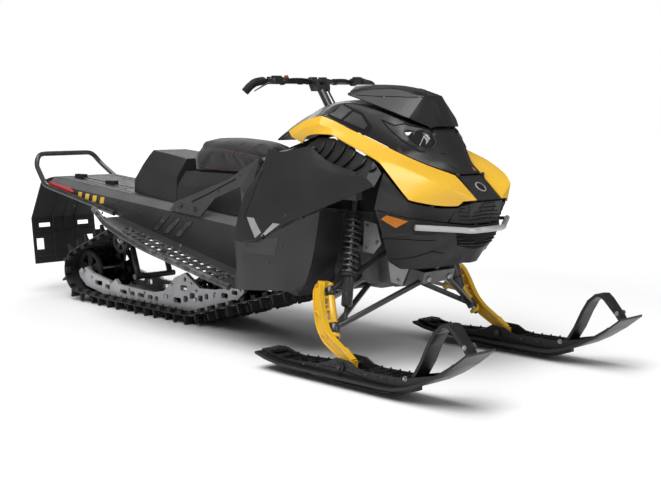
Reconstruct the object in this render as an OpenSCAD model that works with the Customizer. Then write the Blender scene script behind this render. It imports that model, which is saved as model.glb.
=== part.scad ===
// Mountain snowmobile. Millimetres, +X forward, +Y left, +Z up, ground at z = 0.
// Stations along the machine are measured from the ski pivot bolt, positive forward.

/* [Layout] */
// Distance of the ski pivot ahead of the middle of the machine
pivot_x = 1040; // [1000:5:1080]
// Distance between the centre lines of the two skis
ski_stance = 914; // [860:2:990]
// Thickness of the moulded body panels
panel_t = 5; // [3:0.5:7]
// Gap between a fixed piece and what it seats on
seat_gap = 0.3; // [0.2:0.1:0.6]

/* [Skis] */
// Length of a ski from tail to tip
ski_len = 1040; // [900:10:1150]
// Width of a ski
ski_w = 158; // [130:2:190]
// Height of the ski pivot bolt above the ground
ski_pivot_z = 76; // [70:1:90]
// Radius of the ski pivot bolt
pivot_bolt_r = 8; // [6:0.5:10]
// Thickness of the moulded loop at the ski tip
loop_t = 13; // [8:0.5:18]

/* [Front suspension] */
// Radius of the kingpin studs
kingpin_r = 8; // [6:0.5:10]
// Running clearance of the kingpin studs, on the radius
kingpin_fit = 0.05; // [0.02:0.01:0.1]
// Distance between the two ball joint eyes along the kingpin
kingpin_span = 150; // [140:1:165]
// Radius of the suspension arm tubes
arm_r = 11; // [8:0.5:14]
// Radius of the front shock springs
spring_r = 33; // [28:1:38]
// Radius of a tie rod
tie_r = 8; // [6:0.5:10]

/* [Tunnel] */
// Outer width of the tunnel
tunnel_w = 440; // [430:2:480]
// Thickness of the tunnel sheet
tunnel_t = 3; // [2:0.5:5]
// Station of the rear end of the tunnel
tunnel_rear = -2440; // [-2520:10:-2360]
// Radius of the rear bumper tube
bumper_r = 13; // [10:0.5:16]
// Radius of the running board edge tube
board_tube_r = 14; // [10:0.5:18]

/* [Track] */
// Width of the track
track_w = 381; // [350:1:406]
// Height of the track lugs
lug_h = 41; // [25:1:51]
// Number of lug rows around the track
lug_rows = 48; // [36:1:60]
// Radius of the rear wheels
rear_wheel_r = 104; // [90:1:115]
// Radius of the small idler wheels
idler_r = 66; // [50:1:80]
// Pitch radius of the drive sprockets
sprocket_r = 85; // [70:1:92]

/* [Steering] */
// Radius of the handlebar tube
bar_r = 11; // [10:0.1:14]
// Overall width of the handlebar
bar_w = 740; // [640:10:820]
// Radius of the steering post
post_r = 17; // [12:0.5:20]
// Running clearance of the steering post, on the radius
post_fit = 0.05; // [0.02:0.01:0.1]

/* [Seat] */
// Width of the seat cushion at its base
seat_w = 250; // [220:5:300]

/* [Hidden] */
$fn = 48;

tunnel_half = tunnel_w / 2;
track_half = track_w / 2;

// ---------- shared helpers ----------

function unit(v) = v / norm(v);
function flip(points) = [for (p = points) [p[0], -p[1], p[2]]];
function spin(list) = [for (i = [len(list) - 1:-1:0]) list[i]];

// Everything is drawn from the ski pivot station.
module placed() translate([pivot_x, 0, 0]) children();

module both_sides() {
  children();
  mirror([0, 1, 0]) children();
}

module aim(a, b) {
  d = b - a;
  translate(a) rotate([0, acos(d[2] / norm(d)), atan2(d[1], d[0])]) children();
}

module rod(a, b, r) aim(a, b) cylinder(h = norm(b - a), r = r);

// A flat outline in x and z, from y = y0 to y = y1.
module slab(y0, y1) translate([0, y1, 0]) rotate([90, 0, 0]) linear_extrude(y1 - y0) children();

// Rounds the corners of a path: each corner is cut back by cut and bridged by a curve.
function bent(path, cut, steps = 4) = [
  path[0],
  for (i = [1:len(path) - 2])
    let (a = path[i] + cut * unit(path[i - 1] - path[i]), b = path[i] + cut * unit(path[i + 1] - path[i]))
      for (k = [0:steps])
        let (t = k / steps) (1 - t) * (1 - t) * a + 2 * t * (1 - t) * path[i] + t * t * b,
  path[len(path) - 1]
];

// A round tube swept along a path; side is any direction that the path never follows.
module swept(path, r, side = [0, 0, 1], sides = 10) {
  n = len(path);
  rings = [
    for (i = [0:n - 1])
      let (
        t = unit(path[min(i + 1, n - 1)] - path[max(i - 1, 0)]),
        u = unit(cross(t, side)),
        v = cross(t, u)
      )
        for (k = [0:sides - 1]) path[i] + r * (cos(360 * k / sides) * u + sin(360 * k / sides) * v)
  ];
  walls = [
    for (i = [0:n - 2], k = [0:sides - 1])
      let (a = i * sides + k, b = i * sides + (k + 1) % sides) each [[a, b, b + sides], [a, b + sides, a + sides]]
  ];
  start = [for (k = [1:sides - 2]) [0, k + 1, k]];
  end = [for (k = [1:sides - 2]) (n - 1) * sides * [1, 1, 1] + [0, k, k + 1]];
  polyhedron(rings, [for (f = concat(walls, start, end)) spin(f)]);
}

// A closed sheet of thickness t under an outer skin. Faces run anticlockwise seen from outside.
module sheet(points, faces, t = panel_t) {
  tris = [for (f = faces, i = [1:len(f) - 2]) [f[0], f[i], f[i + 1]]];
  count = len(points);
  normals = [
    for (k = [0:count - 1])
      unit(total([
        for (f = tris)
          if (f[0] == k || f[1] == k || f[2] == k)
            cross(points[f[1]] - points[f[0]], points[f[2]] - points[f[0]])
      ]))
  ];
  inner = [for (k = [0:count - 1]) points[k] - t * normals[k]];
  edges = [for (f = tris) each [[f[0], f[1]], [f[1], f[2]], [f[2], f[0]]]];
  free = [for (e = edges) if (!paired(e, edges)) e];
  skins = concat(
    [for (f = tris) [f[0], f[2], f[1]]],
    [for (f = tris) [f[0] + count, f[1] + count, f[2] + count]],
    [for (e = free) each [[e[0], e[1], e[1] + count], [e[0], e[1] + count, e[0] + count]]]
  );
  polyhedron(concat(points, inner), skins);
}

function total(list, i = 0) = i == len(list) ? [0, 0, 0] : list[i] + total(list, i + 1);
function paired(e, edges) = len([for (d = edges) if (d[0] == e[1] && d[1] == e[0]) 1]) > 0;

// Faces of a grid of points given row by row, each row from one side to the other. From the column
// mid_col or the row mid_row on, the squares are split the other way, so both halves mirror each other.
function grid(rows, cols, mid_col = 999, mid_row = 999) = [
  for (i = [0:rows - 2], k = [0:cols - 2])
    let (a = i * cols + k, b = a + cols)
      each (k >= mid_col) == (i >= mid_row) ? [[a, a + 1, b + 1], [a, b + 1, b]] : [[a, a + 1, b], [a + 1, b + 1, b]]
];
function turned(faces) = [for (f = faces) spin(f)];
function flat(rows) = [for (row = rows) each row];

// A row that runs from the right edge over the middle to the left edge.
function across(half) = concat(half, flip([for (i = [len(half) - 2:-1:0]) half[i]]));

// A moulded lug behind one panel, trimmed to sit against the panels given as children.
module lug(p, r = 10) difference() {
  translate(p) sphere(r = r, $fn = 8);
  children();
}

// ---------- chassis ----------

deck_rise = 0.072;                       // slope of the tunnel's top edge
deck_z0 = 422.5;                         // height of that edge at the ski pivot station
board_rise = 0.193;                      // slope of the running boards
board_z0 = 124;                          // height of their plane at the ski pivot station
tunnel_front = -540;
bevel = 36;                              // width and height of the tunnel's sloping top corner
function deck_z(x) = deck_z0 - deck_rise * x;
function board_z(x) = board_z0 - board_rise * x;
side_rear = -1834;                       // where the deep part of the side plates ends

module tunnel_section(grow) {
  // Half outline of the tunnel's top, wide at the bottom, seen from behind.
  h = tunnel_half - grow;
  polygon([[-h, -400], [-h, -grow * 0.4], [-h + bevel, bevel - grow], [h - bevel, bevel - grow],
    [h, -grow * 0.4], [h, -400]]);
}

// Tilts a level shape so that it rises towards the rear, from height z0 at the ski pivot station.
module tilted(z0, rise) translate([0, 0, z0]) rotate([0, atan(rise), 0]) children();

module tunnel_bar(grow) tilted(deck_z0, deck_rise)
  translate([tunnel_front + 60, 0, 0]) rotate([90, 0, -90])
    linear_extrude(tunnel_front - tunnel_rear + 120) tunnel_section(grow);

module tunnel() color("#3a3a3c") placed() {
  difference() {
    intersection() {
      tunnel_bar(0);
      slab(-tunnel_half - 1, tunnel_half + 1)
        polygon([[tunnel_front, 235], [-700, 262], [-941, 306], [side_rear, 478], [tunnel_rear, 572],
          [tunnel_rear, 800], [tunnel_front, 800]]);
    }
    translate([tunnel_t * -1, 0, 0]) intersection() {
      tunnel_bar(tunnel_t);
      translate([tunnel_rear - 10, -tunnel_half, 0]) cube([tunnel_front - tunnel_rear + 10, tunnel_w, 900]);
    }
    both_sides() translate([axle_x, 0, axle_z]) rotate([90, 0, 0])
      cylinder(h = tunnel_half + 10, r = axle_r + 0.05);
  }
}

board_line = [[-752, -408], [-1350, -426], [-1690, -374], [-1960, -(tunnel_half + 42)]];

module running_board() {
  t = 4;
  edge = [for (p = board_line) [p[0], p[1], board_z(p[0])]];
  swept(bent(edge, 90), board_tube_r);
  difference() {
    tilted(board_z0 - t / 2, board_rise) linear_extrude(t) polygon([[-766, -tunnel_half - seat_gap],
      [-766, -404], [-1375, -420], [-1711, -368], [-1833, -tunnel_half - 97], [-1833, -tunnel_half - seat_gap]]);
    for (i = [0:17]) translate([-1600 + i * 46, -tunnel_half - 95, board_z(-1600 + i * 46)])
      cube([30, 24, 40], center = true);
    for (i = [0:15]) translate([-1560 + i * 46, -tunnel_half - 150, board_z(-1560 + i * 46)])
      cube([30, 24, 40], center = true);
  }
}

module running_board_right() color("#4a4a4c") placed() running_board();
module running_board_left() color("#4a4a4c") placed() mirror([0, 1, 0]) running_board();

bumper_side = tunnel_half + bumper_r + 0.8;

module rear_bumper() color("#1d1d1f") placed() {
  half = [[-1826, -bumper_side, 488], [-2452, -bumper_side, 590], [-2600, -198, 690], [-2626, -165, 745]];
  path = concat(half, flip(spin(half)));
  swept(bent(path, 34), bumper_r, [0.3, 0, 1]);
  rod([-2626, -125, 745], [-2626, 125, 745], bumper_r + 0.2);
}

module snow_flap() color("#242426") placed() {
  difference() {
    slab(-195, 195) polygon([[-2440.4, 633], [-2480, 626], [-2560, 604], [-2672, 400], [-2640, 156], [-2632, 156],
      [-2664, 400], [-2554, 597], [-2478, 618], [-2440.4, 625]]);
    for (y = [-120, 120]) translate([-2665, y, 360]) cube([80, 70, 22], center = true);
    for (y = [-155, 155]) translate([-2650, y, 260]) cube([80, 46, 60], center = true);
  }
}

module tail_lights() color("#b3262a") placed() both_sides()
  translate([0, -tunnel_half - 3.3, 0]) slab(0, 3)
    polygon([[-2430, 611], [-2430, 604], [-2240, 574], [-2215, 578], [-2250, 590]]);

module cargo_anchors() color("#19191b") placed() {
  for (p = [[-2330, -95], [-2050, -95], [-1890, 60]])
    translate([p[0], p[1], deck_z(p[0]) + bevel + 12.7]) difference() {
      cube([70, 34, 20], center = true);
      rotate([90, 0, 0]) cylinder(h = 60, r = 5, center = true);
    }
}

// ---------- seat ----------

function deck_top(x) = deck_z(x) + bevel + seat_gap;
cushion_floor = 706;

module seat_cushion() color("#232325") placed() {
  z = cushion_floor + seat_gap;
  rows = [
    [[-1392, -95, z], [-1384, -90, 774], [-1350, -60, 820]],
    [[-1335, -seat_w / 2, z], [-1330, -120, 774], [-1325, -78, 844]],
    [[-1150, -seat_w / 2, z], [-1150, -122, 778], [-1150, -84, 848]],
    [[-960, -122, z], [-960, -114, 780], [-960, -80, 838]],
    [[-868, -100, z + 20], [-868, -92, 778], [-868, -62, 824]]
  ];
  loft([for (row = rows) across(concat(row, [[row[2][0], 0, row[2][2] + 8]]))]);
}

// A closed body lofted over open sections whose ends are joined across the bottom.
module loft(sections) {
  cols = len(sections[0]);
  rows = len(sections);
  skin = grid(rows, cols);
  base = [for (i = [0:rows - 2])
    let (a = i * cols, b = a + cols) each [[a, b, b + cols - 1], [a, b + cols - 1, a + cols - 1]]];
  first = [for (k = [1:cols - 2]) [0, k + 1, k]];
  last = [for (k = [1:cols - 2]) (rows - 1) * cols * [1, 1, 1] + [0, k, k + 1]];
  polyhedron(flat(sections), [for (f = concat(skin, base, first, last)) spin(f)]);
}

module seat_fairing() color("#343436") placed() {
  tail = [
    [[-1790, -140, deck_top(-1790)], [-1786, -142, 648], [-1776, -95, 692]],
    [[-1700, -165, deck_top(-1700)], [-1700, -156, 722], [-1694, -100, 793]],
    [[-1560, -172, deck_top(-1560)], [-1545, -168, 700], [-1525, -112, 778]],
    [[-1405, -178, deck_top(-1405)], [-1402, -178, 684], [-1400, -120, 762]]
  ];
  loft([for (row = tail) across(concat(row, [[row[2][0], 0, row[2][2]]]))]);
  base = [
    [[-1400, -178, deck_top(-1400)], [-1400, -178, 640], [-1400, -128, cushion_floor]],
    [[-1150, -176, deck_top(-1150)], [-1150, -166, 640], [-1150, -128, cushion_floor]],
    [[-880, -170, deck_top(-880)], [-880, -158, 640], [-880, -118, cushion_floor]]
  ];
  loft([for (row = base) across(concat(row, [[row[2][0], 0, row[2][2]]]))]);
}

side_brace_points = [
  [-1395, 0, 534], [-1345, 0, 574], [-960, -14, 690], [-715, -42, 800], [-712, -62, 745],
  [-742, -70, 640], [-760, -30, 560], [-850, -24, 565], [-855, -28, 668], [-1050, -10, 606],
  [-1165, 0, 518], [-1280, 0, 526]
];
side_brace_faces = [[0, 11, 1], [11, 10, 1], [1, 10, 9, 2], [9, 8, 2], [2, 8, 3], [8, 5, 4, 3], [8, 7, 6, 5]];

module side_brace() {
  translate([0, -tunnel_half - 9.4, 0]) sheet(side_brace_points, side_brace_faces, 9);
  lug([-726, -260, 778], 17) rod(leg_top, brace_foot, 13 + seat_gap);
}

module side_brace_right() color("#5a5a5c") placed() side_brace();
module side_brace_left() color("#5a5a5c") placed() mirror([0, 1, 0]) side_brace();

// ---------- body panels ----------

side_panel_points = [
  [-640, -285, 835], [-550, -300, 825], [-395, -290, 855], [-335, -305, 830], [-260, -325, 795],
  [-125, -340, 775], [-45, -345, 755], [0, -345, 720], [-115, -375, 670], [-225, -400, 625],
  [-310, -420, 590], [-400, -430, 555], [-545, -435, 480], [-660, -425, 475], [-725, -400, 475],
  [-730, -385, 545], [-720, -345, 660], [-670, -310, 740], [-625, -335, 750], [-660, -370, 670],
  [-650, -415, 545], [-330, -350, 785], [-140, -358, 748], [-390, -400, 685], [-225, -385, 695]
];
side_panel_faces = [
  [0, 17, 18, 1], [17, 16, 19, 18], [16, 15, 20, 19], [15, 14, 13, 20],
  [1, 21, 2], [21, 3, 2], [21, 4, 3], [21, 22, 4], [22, 5, 4], [22, 6, 5], [22, 7, 6],
  [1, 18, 23], [18, 19, 23], [19, 20, 23], [20, 13, 12], [20, 12, 23], [12, 11, 23], [11, 10, 23],
  [10, 9, 24, 23], [9, 8, 24], [8, 7, 24], [24, 7, 22], [23, 24, 22], [23, 22, 21], [1, 23, 21]
];

module side_panel() sheet(side_panel_points, side_panel_faces);
module side_panel_right() color("#2c2c2e") placed() side_panel();
module side_panel_left() color("#2c2c2e") placed() mirror([0, 1, 0]) side_panel();

lower_panel_points = [
  [-725, -400, 465], [-660, -425, 465], [-545, -435, 470], [-400, -430, 545], [-310, -420, 580],
  [-225, -400, 615], [-235, -410, 510], [-260, -405, 420], [-300, -400, 340], [-335, -400, 295],
  [-365, -425, 300], [-645, -430, 272], [-740, -400, 265], [-700, -410, 365], [-650, -430, 375],
  [-400, -435, 420], [-740, -220.6, 268], [-645, -220.6, 275], [-365, -220.6, 290], [-345, -220.6, 300],
  [-310, -220.6, 420], [-275, -220.6, 600]
];
lower_panel_faces = [
  [0, 13, 14, 1], [13, 12, 11, 14], [1, 14, 15, 2], [2, 15, 3], [14, 11, 10, 15], [3, 15, 4],
  [15, 6, 5, 4], [15, 7, 6], [15, 10, 8, 7], [10, 9, 8],
  [12, 16, 17, 11], [11, 17, 18, 10], [10, 18, 19, 9],
  [9, 19, 20, 8], [8, 20, 7], [7, 20, 21, 6], [6, 21, 5]
];

module lower_panel() {
  sheet(lower_panel_points, lower_panel_faces);
  for (p = [[-310, -409, 586], [-523, -423, 487]]) lug(p) side_panel();
}
module lower_panel_right() color("#2a2a2c") placed() lower_panel();
module lower_panel_left() color("#2a2a2c") placed() mirror([0, 1, 0]) lower_panel();

// Half sections of the hood and console, from the shoulder up to the middle, rear to front.
hood_rows = [
  [[-570, -234, 903], [-680, -180, 880], [-780, -110, 862], [-780, 0, 862]],
  [[-510, -234, 931], [-590, -180, 928], [-660, -110, 935], [-660, 0, 935]],
  [[-442, -238, 956], [-480, -185, 978], [-530, -115, 988], [-530, 0, 988]],
  [[-372, -238, 971], [-385, -190, 1005], [-420, -130, 1028], [-420, 0, 1030]],
  [[-262, -201, 920], [-290, -185, 985], [-300, -150, 1025], [-300, 0, 1035]],
  [[-161, -191, 889], [-160, -185, 930], [-170, -152, 990], [-170, 0, 1005]],
  [[-30, -176, 836], [-40, -165, 890], [-50, -140, 950], [-50, 0, 965]],
  [[70, -124, 791], [60, -105, 850], [40, -75, 915], [48, 0, 920]],
  [[125, -92, 770], [110, -70, 800], [100, -50, 835], [110, 0, 835]],
  [[160, -70, 757], [165, -50, 757], [168, -30, 757], [170, 0, 757]]
];
post_low = [-480, 0, 855];
post_top = [-640, 0, 1085];

module hood_skin() sheet(flat([for (row = hood_rows) across(row)]), grid(len(hood_rows), 7, 3));

module hood() color("#2e2e30") placed() {
  difference() {
    hood_skin();
    rod(post_low, post_top, post_r + 12, $fn = 12);
    both_sides() eye_cutter();
  }
  both_sides() {
    for (p = [[-284, -209, 924], [-203, -196, 895]]) lug(p, 9) side_trim();
    for (p = [[-135, -100, 1043], [29, -65, 933]]) lug(p, 9) windscreen();
  }
  lug([162, 14, 750], 8) nose_plate();
}

eye_corners = [[-64, -146, 925], [0, -134, 882], [52, -110, 862], [38, -96, 893], [-50, -80, 910], [0, -62, 885]];
module eye_cutter() hull() for (p = eye_corners) translate(p) cube(15, center = true);

trim_rows = [
  [[-475, -250, 862], [-535, -252, 885], [-565, -240, 905]],
  [[-440, -262, 890], [-480, -262, 915], [-505, -242, 935]],
  [[-405, -270, 898], [-430, -265, 930], [-450, -245, 955]],
  [[-350, -275, 900], [-360, -270, 935], [-372, -245, 968]],
  [[-285, -276, 898], [-300, -262, 920], [-315, -225, 945]],
  [[-215, -283, 872], [-235, -258, 888], [-258, -207, 914]],
  [[-110, -290, 838], [-135, -255, 855], [-158, -197, 883]],
  [[-20, -296, 805], [-50, -265, 825], [-90, -190, 856]],
  [[30, -300, 765], [40, -265, 795], [-20, -182, 828]],
  [[120, -287, 672], [150, -240, 750], [78, -127, 782]],
  [[190, -200, 650], [222, -175, 715], [160, -77, 752]],
  [[230, -142, 652], [243, -130, 668], [260, -75, 668]]
];

module side_trim() sheet(flat(trim_rows), grid(len(trim_rows), 3));
module side_trim_right() color("#f0c52e") placed() side_trim();
module side_trim_left() color("#f0c52e") placed() mirror([0, 1, 0]) side_trim();

vent_rows = [
  [[-445, -262, 838], [-455, -238, 854]],
  [[-360, -275, 822], [-380, -250, 884]],
  [[-270, -290, 785], [-290, -256, 884]],
  [[-150, -305, 762], [-200, -266, 854]],
  [[-60, -318, 738], [-60, -278, 804]],
  [[-18, -322, 712], [-16, -284, 762]]
];

module side_vent() sheet(flat(vent_rows), grid(len(vent_rows), 2));

module side_vents() color("#161618") placed() both_sides() {
  side_vent();
  lug([-381, -281, 842], 12) side_panel();
  lug([-190, -273, 859], 10) side_trim();
}

visor_rows = [
  [[-320, -155, 1050], [-340, -85, 1088], [-345, 0, 1086]],
  [[-210, -155, 1022], [-250, -88, 1088], [-250, 0, 1092]],
  [[-110, -150, 992], [-120, -78, 1070], [-120, 0, 1075]],
  [[-20, -135, 962], [-20, -50, 1045], [-5, 0, 1045]],
  [[44, -78, 930], [48, -40, 932], [50, 0, 932]]
];

module windscreen() sheet(flat([for (row = visor_rows) across(row)]), grid(len(visor_rows), 5, 2));
module windshield() color("#262628") placed() windscreen();

module headlights() color("#d8d8da") placed() both_sides() difference() {
  translate([-8, -104, 896]) rotate([0, 70, -25]) cylinder(h = 40, r = 20, center = true);
  hood_skin();
}

// ---------- nose ----------

module nose_plate() sheet(flat([
  across([[164, -70, 748], [168, 0, 750]]),
  across([[212, -70, 708], [216, 0, 709]]),
  across([[257, -69, 666], [260, 0, 666]])
]), grid(3, 3, 1));

cowl_rows = [
  [[-34, -300, 632], [-15, -300, 700], [6, -294, 766]],
  [[100, -250, 605], [105, -270, 640], [112, -280, 664]],
  [[150, -190, 598], [170, -195, 622], [186, -192, 642]],
  [[188, -150, 590], [206, -145, 620], [226, -134, 644]]
];

module cowl_side() sheet(flat(cowl_rows), grid(len(cowl_rows), 3));

module nose_cowl() color("#262628") placed() {
  nose_plate();
  both_sides() {
    cowl_side();
    for (p = [[170, -215, 653], [171, -72, 755]]) lug(p, 9) side_trim();
    for (p = [[146, -185, 595], [54, -261, 611]]) lug(p, 9) nose_shell();
  }
}

module grille() sheet(flat([
  across([[192, -146, 588], [232, -90, 582], [240, 0, 580]]),
  across([[210, -142, 618], [248, -86, 622], [256, 0, 622]]),
  across([[230, -132, 646], [260, -78, 660], [264, 0, 660]])
]), grid(3, 5, 2), 18);

module front_grille() color("#18181a") placed() {
  grille();
  both_sides() lug([196, -141, 611], 9) cowl_side();
}

belly_rows = [
  [[-45, -215, 433], [-20, -255, 485], [8, -298, 535], [-30, -300, 626]],
  [[-20, -175, 401], [60, -215, 480], [100, -255, 545], [100, -250, 599]],
  [[32, -120, 401], [110, -165, 470], [160, -200, 545], [150, -190, 592]],
  [[100, -90, 412], [184, -109, 487], [205, -125, 545], [192, -146, 583]],
  [[163, -50, 428], [202, -60, 487], [225, -70, 545], [232, -90, 577]],
  [[172, 0, 432], [208, 0, 487], [234, 0, 545], [240, 0, 575]]
];

belly_half = len(belly_rows) - 1;
belly_line = [for (i = [1:belly_half]) belly_rows[i][0] + [0, i < belly_half ? 4 : 0, 3]];

module nose_shell() {
  rows = concat(belly_rows, [for (i = [belly_half - 1:-1:0]) flip(belly_rows[i])]);
  sheet(flat(rows), grid(len(rows), 4, 999, belly_half));
}

module belly_plate() {
  pairs = [for (i = [0:len(belly_line) - 1]) let (p = belly_line[i]) [p, [p[0], i == belly_half - 1 ? 1 : -p[1], p[2]]]];
  sheet(flat(pairs), turned(grid(len(pairs), 2)), 4);
}

module lower_nose() color("#2a2a2c") placed() {
  nose_shell();
  belly_plate();
  both_sides() {
    lug([230, -40, 576], 9) grille();
    difference() {
      union() {
        rod([145, -264, 574], [100, -246, 572], 7);
        rod([258, -60, 558], [230, -60, 556], 7);
      }
      bumper_tube(seat_gap);
    }
  }
}

bumper_tube_r = 11;

bumper_line = [[140, -272, 574], [235, -125, 562], [258, -95, 558]];
module bumper_tube(grow = 0) swept(bent(concat(bumper_line, flip(spin(bumper_line))), 24), bumper_tube_r + grow);

module front_bumper() color("#c9cacc") placed() {
  bumper_tube();
  rod([258, -50, 558], [258, 50, 558], bumper_tube_r + 0.2);
}

// ---------- front frame, engine ----------

pan_z = 284;
pan_t = 8;
pan_front = -300;
beam_z = 652;                            // underside of the cross beam that carries the shocks
beam_t = 34;
guide_x = -275;

module front_frame() color("#8f9194") placed() {
  difference() {
    union() {
      slab(-90, 90) polygon([[-250, 325], [-120, 308], [-20, 326], [20, 340], [30, 380], [-75, 392], [-80, 560],
        [-190, beam_z + 1], [-240, beam_z + 1], [-255, 450]]);
      both_sides() slab(60, 150) polygon([[-345, 405], [-255, 440], [-240, 330], [-200, 318], [-200, 470], [-345, 450]]);
      translate([-240, -262, beam_z]) cube([70, 524, beam_t]);
      translate([tunnel_front, -tunnel_half, pan_z]) cube([pan_front - tunnel_front, tunnel_w, pan_t]);
      translate([pan_front, -40, pan_z]) cube([-240 - pan_front, 80, tie_low[2] + 20 - pan_z]);
    }
    both_sides() {
      front_arm_solid(0.8, $fn = 12);
      shock_rod(12.8, 1, $fn = 12);
    }
    translate([guide_x, 0, tie_low[2]]) rotate([90, 0, 0])
      cylinder(h = 300, r = tie_r + 0.8, center = true, $fn = 12);
    engine_block(1);
  }
  lug([10, 0, 391], 13) belly_plate();
}

module engine_block(grow = 0) slab(-185 - grow, 185 + grow) polygon([
  [-532 - grow, pan_z + pan_t + seat_gap], [-358 + grow, pan_z + pan_t + seat_gap], [-358 + grow, 640 + grow],
  [-600 - grow, 640 + grow], [-600 - grow, 512 - grow], [-532 - grow, 512 - grow]
]);

module engine() color("#6d6f72") placed() engine_block();

collar_low = 22;                         // span of the steering post's bearing along the post
collar_high = 112;
post_dir = unit(post_top - post_low);

leg_top = post_low + 66 * post_dir;
brace_foot = [-728, -247, 776];

module upper_frame() color("#2b2b2d") placed() difference() {
  union() {
    rod(post_low + collar_low * post_dir, post_low + collar_high * post_dir, 28);
    both_sides() {
      rod(leg_top, [-205, -120, beam_z + beam_t + 0.2], 13);
      rod(leg_top, brace_foot, 13);
    }
  }
  rod(post_low, post_top, post_r + post_fit);
  translate([-240, -262, beam_z]) cube([70, 524, beam_t]);
}

// ---------- front suspension, right side ----------

knee = [-140, -405 + (914 - ski_stance) / 2, 182];
king_dir = unit([-65, 40, 128]);
king_top = knee + kingpin_span * king_dir;
ski_y = -ski_stance / 2;
eye_h = 30;
eye_r = 20;
boss_low = 41;                           // span of the spindle's boss along the kingpin
boss_high = 126;

module kingpin_frame() aim(knee, king_top) children();

module eye_at(s) kingpin_frame() translate([0, 0, s - eye_h / 2]) cylinder(h = eye_h, r = eye_r);
module eye_bores() kingpin_frame() translate([0, 0, -60]) cylinder(h = kingpin_span + 120, r = kingpin_r + kingpin_fit);

low_front = [10, -60, 352];
low_rear = [-245, -80, 330];
up_front = [-142, -80, 462];
up_rear = [-326, -110, 428];
shock_low = [-138, -348, 209];
shock_top = [-200, -232, beam_z + 10];
shock_pin_r = 7;

module arm_leg(a, b, grow) rod(a, b + (eye_r - 6) * unit(a - b), arm_r + grow);

module front_arm_solid(grow = 0) {
  arm_leg(low_front, knee, grow);
  arm_leg(low_rear, knee, grow);
  arm_leg(up_front, king_top, grow);
  arm_leg(up_rear, king_top, grow);
}

module front_arm() {
  difference() {
    union() {
      front_arm_solid();
      eye_at(0);
      eye_at(kingpin_span);
      rod(knee + 0.16 * (low_front - knee), knee + 0.18 * (low_rear - knee), shock_pin_r);
    }
    eye_bores();
  }
}

module front_arms() color("#1b1b1d") placed() both_sides() front_arm();

shock_len = norm(shock_top - shock_low);
module shock_rod(r, extra) aim(shock_low, shock_top) translate([0, 0, shock_len - 60]) cylinder(h = 60 + extra, r = r);

module front_shock() difference() {
  aim(shock_low, shock_top) {
    translate([0, 0, -8]) cylinder(h = 64, r = 8);
    translate([0, 0, 48]) cylinder(h = 130, r = 22);
    translate([0, 0, 176]) cylinder(h = shock_len - 236, r = spring_r);
    translate([0, 0, shock_len - 61]) cylinder(h = 61, r = 12);
  }
  rod(knee + 0.16 * (low_front - knee), knee + 0.18 * (low_rear - knee), shock_pin_r + seat_gap);
}

module front_shocks() color("#202022") placed() both_sides() front_shock();

shin = [-164, ski_y + 14, 218];
arm_eye = [-252, -372, 250];
tie_low = [guide_x, -110, 322];

module spindle() {
  kingpin_frame() {
    translate([0, 0, -eye_h / 2 - 9]) cylinder(h = kingpin_span + eye_h + 8, r = kingpin_r);
    translate([0, 0, boss_low]) cylinder(h = boss_high - boss_low, r = 17);
    translate([0, 0, -eye_h / 2 - 9]) cylinder(h = 8.5, r = 14);
  }
  mid = knee + 70 * king_dir;
  rod(mid, arm_eye, 11);
  translate(arm_eye) cylinder(h = 22, r = 14, center = true);
  hull() {
    translate(knee + 108 * king_dir) rotate([0, 30, 0]) cube([34, 22, 30], center = true);
    translate(shin) rotate([0, 30, 0]) cube([46, 22, 44], center = true);
  }
  hull() {
    translate(shin) rotate([0, 30, 0]) cube([46, 22, 44], center = true);
    translate([-45, ski_y + 2, 118]) rotate([0, 30, 0]) cube([44, 26, 44], center = true);
  }
  hull() {
    translate([-45, ski_y + 2, 118]) rotate([0, 30, 0]) cube([44, 26, 44], center = true);
    translate([0, ski_y, ski_pivot_z]) cube([40, 34, 34], center = true);
  }
  translate([0, ski_y, ski_pivot_z]) rotate([90, 0, 0]) cylinder(h = 112, r = pivot_bolt_r, center = true);
}

module spindle_right() color("#efc32c") placed() spindle();
module spindle_left() color("#efc32c") placed() mirror([0, 1, 0]) spindle();

// Rocker line of the ski: top of the keel plate at a station.
ski_tail = 595 - ski_len;
function ski_z(x) = x < -300 ? 34 + 0.0008 * pow(-300 - x, 2) + 0.06 * (-300 - x)
  : x < 250 ? 34 : 34 + 0.00105 * pow(x - 250, 2) + 0.14 * (x - 250);
ski_stations = [for (i = [0:16]) ski_tail + i * ski_len / 16];

ski_deck = 9;                            // thickness of the ski's flat body
wall_y = 50;                             // distance of the ski's upright walls from its centre line

// A band with a rectangular section along a path in x and z; widths has its half width at each point.
module band(path, widths, t) {
  n = len(path);
  rings = [
    for (i = [0:n - 1])
      let (d = unit(path[min(i + 1, n - 1)] - path[max(i - 1, 0)]), q = path[i] + t * [d[1], -d[0]], w = widths[i])
        each [[path[i][0], -w, path[i][1]], [path[i][0], w, path[i][1]], [q[0], w, q[1]], [q[0], -w, q[1]]]
  ];
  walls = [for (i = [0:n - 2], k = [0:3]) let (a = 4 * i + k, b = 4 * i + (k + 1) % 4) each [[a, b, b + 4], [a, b + 4, a + 4]]];
  caps = [[0, 2, 1], [0, 3, 2], (n - 1) * [4, 4, 4] + [0, 1, 2], (n - 1) * [4, 4, 4] + [0, 2, 3]];
  polyhedron(rings, concat(walls, caps));
}

module ski_wall() slab(wall_y - 8, wall_y) difference() {
  polygon(concat(
    [for (x = ski_stations) if (x > -420 && x < 470) [x, ski_z(x) + 2]],
    [[452, ski_z(452) + 14], [300, ski_z(300) + 40], [120, 78], [70, 84], [34, 102], [-34, 104], [-70, 84],
      [-130, 68], [-300, 58], [-405, ski_z(-405) + 20]]
  ));
  translate([0, ski_pivot_z]) circle(r = pivot_bolt_r + 0.3);
}

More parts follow.
